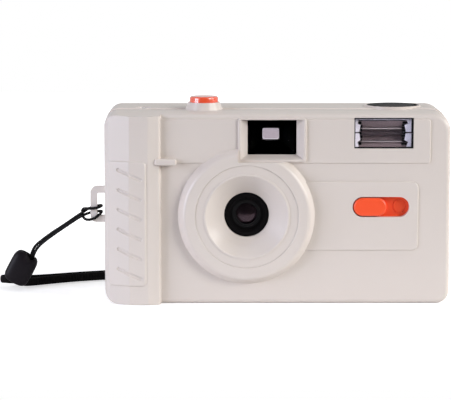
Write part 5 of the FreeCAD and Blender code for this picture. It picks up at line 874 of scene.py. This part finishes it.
@dataclass
class WristStrap:
    """Thin cord hitched on the lug, the bead on its ends, and the woven wrist loop."""

    # Cord: diameter, strands, length of one turn, and the strands' relief as a share of the radius
    cord_mm: float = 1.0
    cord_strands: int = 3
    cord_pitch_mm: float = 3.2
    cord_relief: float = 0.14
    cord_sides: int = 18
    cord_step_mm: float = 0.22
    # Band: thickness and width, spacing and depth of the weave's ribs, and their slant as an angle
    band_mm: Pair = (1.0, 2.9)
    band_rib_mm: float = 1.1
    band_relief_mm: float = 0.05
    band_skew: float = 3.2
    band_sides: int = 20
    band_step_mm: float = 0.2
    # Powers that round the band's section across and along it, each flat and added when rolled
    band_powers: tuple[Pair, ...] = ((0.45, 0.5), (0.55, 0.4))
    # The ends are rolled: length of the change, where it starts in that length, and the swelling
    roll_mm: float = 6.0
    roll_reach: float = 1.6
    roll_swell: float = 1.1
    # Bead: middles of its top and foot, width and depth, and the powers that square its section
    bead_top_mm: Place = (-86.2, 11.0, 12.6)
    bead_foot_mm: Place = (-91.7, 11.0, 2.3)
    bead_mm: Pair = (9.0, 5.6)
    bead_powers: Pair = (0.6, 0.65)
    bead_sides: int = 40
    # Share of the bead's length to share of its width, over the rim and down into the top's hollow
    bead_profile: tuple[Pair, ...] = (
        (0.0, 0.4), (0.015, 0.6), (0.05, 0.78), (0.11, 0.91), (0.2, 0.98), (0.35, 1.0), (0.65, 1.0),
        (0.8, 0.98), (0.89, 0.91), (0.95, 0.8), (0.985, 0.68), (0.995, 0.58), (0.97, 0.48), (0.9, 0.4),
        (0.8, 0.34))
    # Notch in the rim: place, depth and width, the lengths where it fades in, and its share behind
    notch_mm: Place = (1.6, 1.5, 1.1)
    notch_fade: Pair = (0.7, 0.25)
    notch_behind: float = 0.3

    def build(self) -> None:
        bead = self.bead()
        self.cord()
        self.band(bead)

    def cord_section(self, along: float) -> Outline:
        """Three-lobed section that turns along the cord, like laid strands.

        Args:
            along: distance along the cord, in metres.

        Returns:
            Section points.
        """
        radius = self.cord_mm * MM / 2
        turn = 2 * math.pi * along / (self.cord_pitch_mm * MM)
        points = []
        for i in range(self.cord_sides):
            angle = 2 * math.pi * i / self.cord_sides
            lobe = abs(math.cos((angle - turn) * self.cord_strands / 2))
            r = radius * (1 - self.cord_relief + self.cord_relief * lobe)
            points.append((r * math.cos(angle), r * math.sin(angle)))
        return points

    def band_section(self, along: float, length: float) -> Outline:
        """Rounded band whose faces rise and fall with the weave, rolled up towards its ends.

        Args:
            along: distance along the band, in metres.
            length: length of the band, in metres.

        Returns:
            Section points.
        """
        half_a, half_b = (size * MM / 2 for size in self.band_mm)
        rolled = min(max(self.roll_reach - min(along, length - along) / (self.roll_mm * MM), 0.0), 1.0)
        half_a *= 1 + self.roll_swell * rolled
        power_a, power_b = (flat + more * rolled for flat, more in self.band_powers)
        relief = self.band_relief_mm * MM
        phase = 2 * math.pi * along / (self.band_rib_mm * MM)
        points = []
        for i in range(self.band_sides):
            angle = 2 * math.pi * (i + 0.5) / self.band_sides
            c, s = math.cos(angle), math.sin(angle)
            b = half_b * math.copysign(abs(s) ** power_b, s)
            weave = relief * (1 + math.sin(phase + self.band_skew * abs(b) / half_b * math.copysign(1, c)))
            points.append((math.copysign(max(half_a * abs(c) ** power_a - weave, 0), c), b))
        return points

    def cord(self) -> None:
        """Cord from the bead round the lug and back.
        """
        line = even_points(route_line("cord line", CORD_ROUTE), self.cord_step_mm * MM)
        mesh = swept_mesh(line, self.cord_section, upright=False)
        smooth(mesh, angle_deg=60)
        piece = new_piece("cord_twist", mesh, BLACK_CORD)
        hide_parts("strap_cord")
        log.info("cord_twist: %.1f mm of laid cord", line_length(line) / MM)

    def band(self, bead: Object) -> None:
        """Wrist loop that lies on its edge on the floor behind the camera.

        Args:
            bead: the bead that holds both ends; not used.
        """
        line = even_points(route_line("band line", STRAP_ROUTE), self.band_step_mm * MM)
        length = line_length(line)
        mesh = swept_mesh(line, lambda along: self.band_section(along, length), upright=True)
        smooth(mesh, angle_deg=50)
        piece = new_piece("wrist_band", mesh, BLACK_WEAVE)
        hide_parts("wrist_strap")
        log.info("wrist_band: %.1f mm of woven band", length / MM)

    def bead(self) -> Object:
        """Moulded bead: rounded block with a hollow in its top face for the cord.

        Returns:
            The bead.
        """
        top, foot = Vector(self.bead_top_mm) * MM, Vector(self.bead_foot_mm) * MM
        axis = top - foot
        length = axis.length
        up = axis.normalized()
        deep = Vector((0, 1, 0))
        side = deep.cross(up).normalized()
        notch_at, notch_deep, notch_wide = self.notch_mm
        verts: list[Vector] = []
        for share, width in self.bead_profile:
            fade = min(max((share - self.notch_fade[0]) / self.notch_fade[1], 0.0), 1.0)
            for i in range(self.bead_sides):
                angle = 2 * math.pi * i / self.bead_sides
                a, b = (size * MM / 2 * width * math.copysign(abs(turn) ** power, turn) for size, power, turn
                        in zip(self.bead_mm, self.bead_powers, (math.cos(angle), math.sin(angle))))
                dip = notch_deep * MM * math.exp(-((a / MM - notch_at) / notch_wide) ** 2)
                lowered = dip * fade * (1.0 if b < 0 else self.notch_behind)
                verts.append(foot + up * (length * share - lowered) + side * a + deep * b)
        mesh = solid_mesh(verts, ringed_faces(len(self.bead_profile), self.bead_sides))
        smooth(mesh, angle_deg=50)
        piece = new_piece("bead_block", mesh, BLACK_POLYAMIDE)
        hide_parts("strap_bead")
        return piece


@dataclass
class Finder:
    """Reversed viewfinder: hollowed window glass in front and a small glass behind."""

    centre_x_mm: float = -1.7
    # Window glass: width and height, corner radius, its middle's height and its front
    window_mm: Pair = (16.3, 11.4)
    window_corner_mm: float = 0.3
    window_z_mm: float = 56.05
    front_y_mm: float = -15.4
    # Its hollow rear face: least thickness, radius, and how far its axis lies under the glass's middle
    middle_mm: float = 0.9
    hollow_r_mm: float = 25.5
    axis_drop_mm: float = 5.9
    # Full rear opening
    eye_mm: Pair = (9.9, 6.9)
    # Border of the small glass in that opening, and of the hole in its sleeve; corners inside and outside
    eye_borders_mm: Pair = (0.75, 0.35)
    eye_corners_mm: Pair = (1.0, 1.15)
    rim_mm: float = 0.4
    sleeve_mm: float = 4.0
    # Small glass: its middle's height, its front and rear, and the radius of its rear face
    eye_z_mm: float = 58.6
    eye_y_mm: Pair = (14.35, 16.15)
    eye_r_mm: float = 16.0

    def build(self) -> None:
        """Makes both glasses, with the rim and sleeve of the rear one."""
        window = lens_mesh((self.centre_x_mm, self.front_y_mm, self.window_z_mm),
                           rounded_outline(*self.window_mm, self.window_corner_mm, steps=2),
                           lambda x, z: 0.0,
                           lambda x, z: self.middle_mm + ball(self.hollow_r_mm, x, z + self.axis_drop_mm),
                           rings=24)
        piece = new_piece("finder_glass", window, FINDER_ACRYLIC)
        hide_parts("finder_front_lens")
        front, rear = self.eye_y_mm
        at = (self.centre_x_mm, front, self.eye_z_mm)
        inner_corner, outer_corner = self.eye_corners_mm
        small, opening = (rounded_outline(*(size - 2 * border for size in self.eye_mm), inner_corner)
                          for border in self.eye_borders_mm)
        eye = lens_mesh(at, small, lambda x, z: 0.0, lambda x, z: rear - front - ball(self.eye_r_mm, x, z))
        piece = new_piece("finder_eye_glass", eye, EYE_ACRYLIC)
        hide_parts("finder_eyepiece")
        sleeve = tube_mesh((at[0], front - self.rim_mm, at[2]),
                           rounded_outline(*self.eye_mm, outer_corner), opening, self.sleeve_mm)
        new_piece("finder_eye_sleeve", sleeve, FLAT_BLACK_ABS)
        rim = tube_mesh(at, opening, small, self.rim_mm)
        new_piece("finder_eye_rim", rim, CLEAR_ACRYLIC)


@dataclass
class TakingLens:
    """Meniscus with its coating, seated in the barrel, and the seal in the ring's seam."""

    centre_mm: Place = (-10.2, -12.72, 29.9)
    radius_mm: float = 3.9
    # Radii of its two faces, thickness in the middle, and the most that the rear face is hollowed
    front_r_mm: float = 8.2
    back_r_mm: float = 11.7
    thick_mm: float = 1.85
    hollow_mm: float = 0.45
    # Outer radius, inner radius and y of the front of each ring round the glass, and the rear of them all
    rings_mm: tuple[Place, ...] = ((4.75, 4.35, -12.94), (4.35, 4.0, -12.6), (4.0, 3.6, -12.75))
    rings_rear_mm: float = -11.55
    # The same of the seal, and its depth
    seam_mm: Place = (17.3, 17.05, -21.02)
    seam_depth_mm: float = 0.5
    # Points of a quarter circle, less one: round the glass and round the seal
    steps: int = 12
    seam_steps: int = 20

    def build(self) -> None:
        """Makes the glass, the rings and the seal."""
        mesh = lens_mesh(self.centre_mm, circle_outline(self.radius_mm, self.steps),
                         lambda x, z: ball(self.front_r_mm, x, z),
                         lambda x, z: self.thick_mm + min(ball(self.back_r_mm, x, z), self.hollow_mm))
        piece = new_piece("lens_glass", mesh, COATED_GLASS)
        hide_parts("taking_lens")
        for k, ring in enumerate(self.rings_mm):
            mesh = self.ring(ring, self.rings_rear_mm - ring[2], self.steps)
            piece = new_piece(f"lens_ring_{k}", mesh, BLACK_ABS)
            if k == 0:
                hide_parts("lens_retainer")
        seam = self.ring(self.seam_mm, self.seam_depth_mm, self.seam_steps)
        new_piece("bezel_seam", seam, CREAM_ABS)

    def ring(self, size_mm: Place, depth: float, steps: int) -> Mesh:
        """Ring round the lens axis.

        Args:
            size_mm: outer radius, inner radius and y of the front face.
            depth: length along Y.
            steps: points of each quarter, less one.

        Returns:
            The mesh.
        """
        wide, narrow, front = size_mm
        return tube_mesh((self.centre_mm[0], front, self.centre_mm[2]), circle_outline(wide, steps),
                         circle_outline(narrow, steps), depth)


@dataclass
class FlashHead:
    """Clear pane in a thin gasket, creased trough and white end flaps."""

    x_mm: Pair = (25.75, 45.45)
    z_mm: Pair = (52.65, 62.75)
    front_y_mm: float = -18.3
    # Pane: y of its back, corner radius and crown
    pane_back_mm: float = -17.0
    pane_corner_mm: float = 0.4
    pane_crown_mm: float = 0.12
    # Gasket: how far behind the pane's front, its width, and its width on the right
    gasket_set_mm: float = 0.12
    gasket_mm: float = 0.28
    gasket_right_mm: float = 0.7
    # Trough: y of its mouth, depth, gap to the window's edge, sheet, and the creases as shares of its height
    trough_y_mm: float = -16.6
    trough_depth_mm: float = 4.6
    trough_edge_mm: float = 0.4
    sheet_mm: float = 0.3
    creases: Pair = (0.65, 0.185)
    # Lip and shelf of the trough's section: y behind the mouth and height, out of and in the crease
    lip_mm: Pair = (0.9, 0.5)
    shelf_mm: Pair = (1.9, 0.45)
    crease_mm: Pair = (1.75, 0.15)
    # Hollow between the creases: y behind the mouth where it starts, power of its sine, and its steps
    hollow_start_mm: float = 1.95
    hollow_power: float = 0.8
    hollow_steps: int = 10
    # Pressed beads, in a lighter colour as painted highlight: height and y behind the mouth, and their ends'
    # distance from the window's edges
    bead_mm: float = 0.4
    bead_y_mm: float = 1.2
    bead_ends_mm: Pair = (2.4, 3.6)
    # Teeth of shade at the beads' ends: start, end and number; their shift, height and outer margins
    teeth: tuple[tuple[float, float, int], ...] = ((-0.75, 0.25, 7), (-0.1, 1.5, 9))
    tooth_shift_mm: float = 0.16
    tooth_share: float = 0.8
    teeth_margins_mm: Pair = (0.6, 0.8)
    # How far the painted shade bars over the beads, the painted shade strip under the top and the teeth stand
    # in front of the beads
    shade_bar_set_mm: float = 0.02
    strip_set_mm: float = 0.3
    tooth_set_mm: float = 0.35
    # That painted shade strip: past the beads' ends, and its lower and upper edge under the top; the painted
    # shade strip on the foot
    strip_past_mm: float = 1.0
    strip_mm: Pair = (0.75, 0.3)
    foot_strip_mm: float = 0.25
    # Flaps: gap behind the pane, slope, widths left and right, sheet, gap at the ends, and their split
    flap_set_mm: float = 0.1
    flap_slope_mm: float = 0.5
    flap_widths_mm: Pair = (1.8, 2.25)
    flap_sheet_mm: float = 0.25
    flap_end_mm: float = 0.15
    split_mm: float = 0.45
    split_rise_mm: float = 0.1
    # Strip over the trough: distance from the window's sides, and height
    cover_inset_mm: float = 1.4
    cover_mm: float = 0.5
    # Outline of a flap: shares of its width, its slope and its height
    flap_outline: tuple[Place, ...] = (
        (0.0, 0.0, 0.0), (0.75, 1.0, 0.0), (0.45, 0.5, 0.36), (1.0, 1.4, 0.48), (0.8, 1.0, 1.0),
        (0.0, 0.0, 1.0))

    def build(self) -> None:
        """Makes the pane, the gasket, the trough with its beads, and the flaps."""
        self.pane()
        self.gasket()
        self.trough()
        self.beads()
        self.flaps()

    def levels(self) -> tuple[float, float, Pair]:
        """Heights in the trough.

        Returns:
            Its foot, its top, and the upper and lower crease.
        """
        foot, top = self.z_mm[0] + self.trough_edge_mm, self.z_mm[1] - self.trough_edge_mm
        upper, lower = (foot + (top - foot) * share for share in self.creases)
        return foot, top, (upper, lower)

    def bars(self, places: list[tuple[float, float, float, float, float]]) -> Mesh:
        """Several square bars along X in one mesh.

        Args:
            places: left end, right end, front y, lower z and upper z of each.

        Returns:
            The mesh.
        """
        return joined([bar_mesh([(y, a), (y, b), (y + self.bead_mm, b), (y + self.bead_mm, a)], x0, x1)
                       for x0, x1, y, a, b in places])

    def beads(self) -> None:
        """Pressed beads of the trough in a lighter colour as painted highlight, each under a dark bar of
        painted shade, with strips and teeth of painted shade along the top, the foot and the ends.
        """
        z0, z1, levels = self.levels()
        x0, x1 = self.x_mm[0] + self.bead_ends_mm[0], self.x_mm[1] - self.bead_ends_mm[1]
        y, half = self.trough_y_mm + self.bead_y_mm, self.bead_mm / 2
        # Painted highlight: the beads take the lighter sheet colour along both creases
        bright = [(x0, x1, y, z - half, z + half) for z in levels]
        new_piece("flash_beads", self.bars(bright), TROUGH_HIGHLIGHT)
        # Painted shade: black bars over the beads, a strip under the top and one on the foot, and teeth at
        # both ends
        dark = [(x0, x1, y - self.shade_bar_set_mm, z + half, z + self.bead_mm) for z in levels]
        dark.append((x0 - self.strip_past_mm, x1 + self.strip_past_mm, y - self.strip_set_mm,
                     z1 - self.strip_mm[0], z1 - self.strip_mm[1]))
        dark.append((x0, x1, y, z0, z0 + self.foot_strip_mm))
        low = z0 + self.teeth_margins_mm[0]
        height = z1 - z0 - sum(self.teeth_margins_mm)
        for end, (start, stop, count) in zip((x0, x1), self.teeth):
            for i in range(count):
                a = low + height * i / count
                shift = self.tooth_shift_mm * (i % 3 - 1)
                dark.append((end + start + shift, end + stop + shift, y - self.tooth_set_mm, a,
                             a + height / count * self.tooth_share))
        new_piece("flash_shades", self.bars(dark), FLAT_BLACK_ABS)

    def pane(self) -> None:
        """Clear pane, crowned a little towards its edges."""
        width, height = (b - a - 2 * self.gasket_mm for a, b in (self.x_mm, self.z_mm))
        thick = self.pane_back_mm - self.front_y_mm
        mesh = lens_mesh((sum(self.x_mm) / 2, self.front_y_mm, sum(self.z_mm) / 2),
                         rounded_outline(width, height, self.pane_corner_mm, steps=3),
                         lambda x, z: self.pane_crown_mm * ((2 * x / width) ** 4 + (2 * z / height) ** 4),
                         lambda x, z: thick, rings=10)
        piece = new_piece("flash_pane", mesh, CLEAR_ACRYLIC)
        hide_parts("flash_window")

    def gasket(self) -> None:
        """Thin black frame that shows as the window's dark outline."""
        (x0, x1), (z0, z1) = self.x_mm, self.z_mm
        y0, y1, g = self.front_y_mm + self.gasket_set_mm, self.pane_back_mm, self.gasket_mm
        bars = [bar_mesh([(y0, a), (y0, b), (y1, b), (y1, a)], c, d)
                for a, b, c, d in ((z0, z0 + g, x0, x1), (z1 - g, z1, x0, x1), (z0 + g, z1 - g, x0, x0 + g),
                                   (z0 + g, z1 - g, x1 - self.gasket_right_mm, x1))]
        new_piece("flash_gasket", joined(bars), FLAT_BLACK_ABS)

    def trough(self) -> None:
        """Bent metal trough with two bright creases above and below the tube."""
        z0, z1, (upper, lower) = self.levels()
        y0, (lip, drop) = self.trough_y_mm, self.lip_mm
        (shelf, rise), (inset, half) = self.shelf_mm, self.crease_mm
        start, deep = self.hollow_start_mm, self.trough_depth_mm - self.hollow_start_mm
        inner = [(y0, z1), (y0 + lip, z1 - drop), (y0 + shelf, upper + rise), (y0 + inset, upper + half),
                 (y0 + start, upper - half)]
        for i in range(1, self.hollow_steps):
            z = upper - half + (lower - upper + 2 * half) * i / self.hollow_steps
            arch = math.sin(math.pi * i / self.hollow_steps) ** self.hollow_power
            inner.append((y0 + start + deep * arch, z))
        inner += [(y0 + start, lower + half), (y0 + inset, lower - half), (y0 + shelf, lower - rise),
                  (y0 + lip, z0 + drop), (y0, z0)]
        outer = [(y + self.sheet_mm, z) for y, z in reversed(inner)]
        mesh = bar_mesh(inner + outer, self.x_mm[0] + self.trough_edge_mm, self.x_mm[1] - self.trough_edge_mm)
        smooth(mesh, angle_deg=30)
        piece = new_piece("flash_trough", mesh, TROUGH_METAL)
        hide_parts("flash_reflector")

    def plate(self, points: list[Place]) -> Mesh:
        """One thin plate with a front and a back face.

        Args:
            points: its front outline, in millimetres.

        Returns:
            The mesh.
        """
        count = len(points)
        verts = [Vector((x, y + back, z)) * MM for back in (0.0, self.flap_sheet_mm) for x, y, z in points]
        faces: Faces = [tuple(range(count)), tuple(range(2 * count - 1, count - 1, -1))]
        for i in range(count):
            j = (i + 1) % count
            faces.append((j, i, count + i, count + j))
        return solid_mesh(verts, faces)

    def flaps(self) -> None:
        """White moulded end plates, split in the middle, and the strip over the trough."""
        y0 = self.pane_back_mm + self.flap_set_mm
        z0, z1 = self.z_mm[0] + self.gasket_mm, self.z_mm[1] - self.gasket_mm
        middle, half = (z0 + z1) / 2 + self.split_rise_mm, self.split_mm / 2
        edges = (self.x_mm[0] + self.gasket_mm, self.x_mm[1] - self.gasket_mm - self.trough_edge_mm)
        plates = []
        for edge, way, wide in zip(edges, (1, -1), self.flap_widths_mm):
            for near, far in ((z1 - self.flap_end_mm, middle + half), (z0 + self.flap_end_mm, middle - half)):
                points = [(edge + way * wide * a, y0 + self.flap_slope_mm * b, near + (far - near) * c)
                          for a, b, c in self.flap_outline]
                if (way > 0) == (near < far):
                    points.reverse()
                plates.append(self.plate(points))
        x0, x1 = self.x_mm[0] + self.cover_inset_mm, self.x_mm[1] - self.cover_inset_mm
        low = z1 - self.cover_mm
        plates.append(self.plate([(x0, y0, low), (x1, y0, low), (x1, y0, z1), (x0, y0, z1)]))
        new_piece("flash_flaps", joined(plates), WHITE_ABS)


@dataclass
class DressedFrame:
    """CAD nodes that keep their shape and get their real material."""

    finishes: dict[Finish, tuple[str, ...]] = field(default_factory=lambda: dict(CAD_FINISHES))

    def dress(self) -> None:
        """Gives each node its material."""
        for finish, names in self.finishes.items():
            for name in names:
                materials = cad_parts[name].data.materials
                materials.clear()
                materials.append(finish.material())
            log.info("%s: %s", finish.name, ", ".join(names))


def main() -> None:
    """Builds the scene, one sub-assembly after the other."""
    bpy.context.scene.view_settings.view_transform = "Standard"
    Studio().build()
    WristStrap().build()
    for assembly in (Finder(), TakingLens(), FlashHead()):
        assembly.build()
    DressedFrame().dress()


if __name__ == "__main__":
    main()
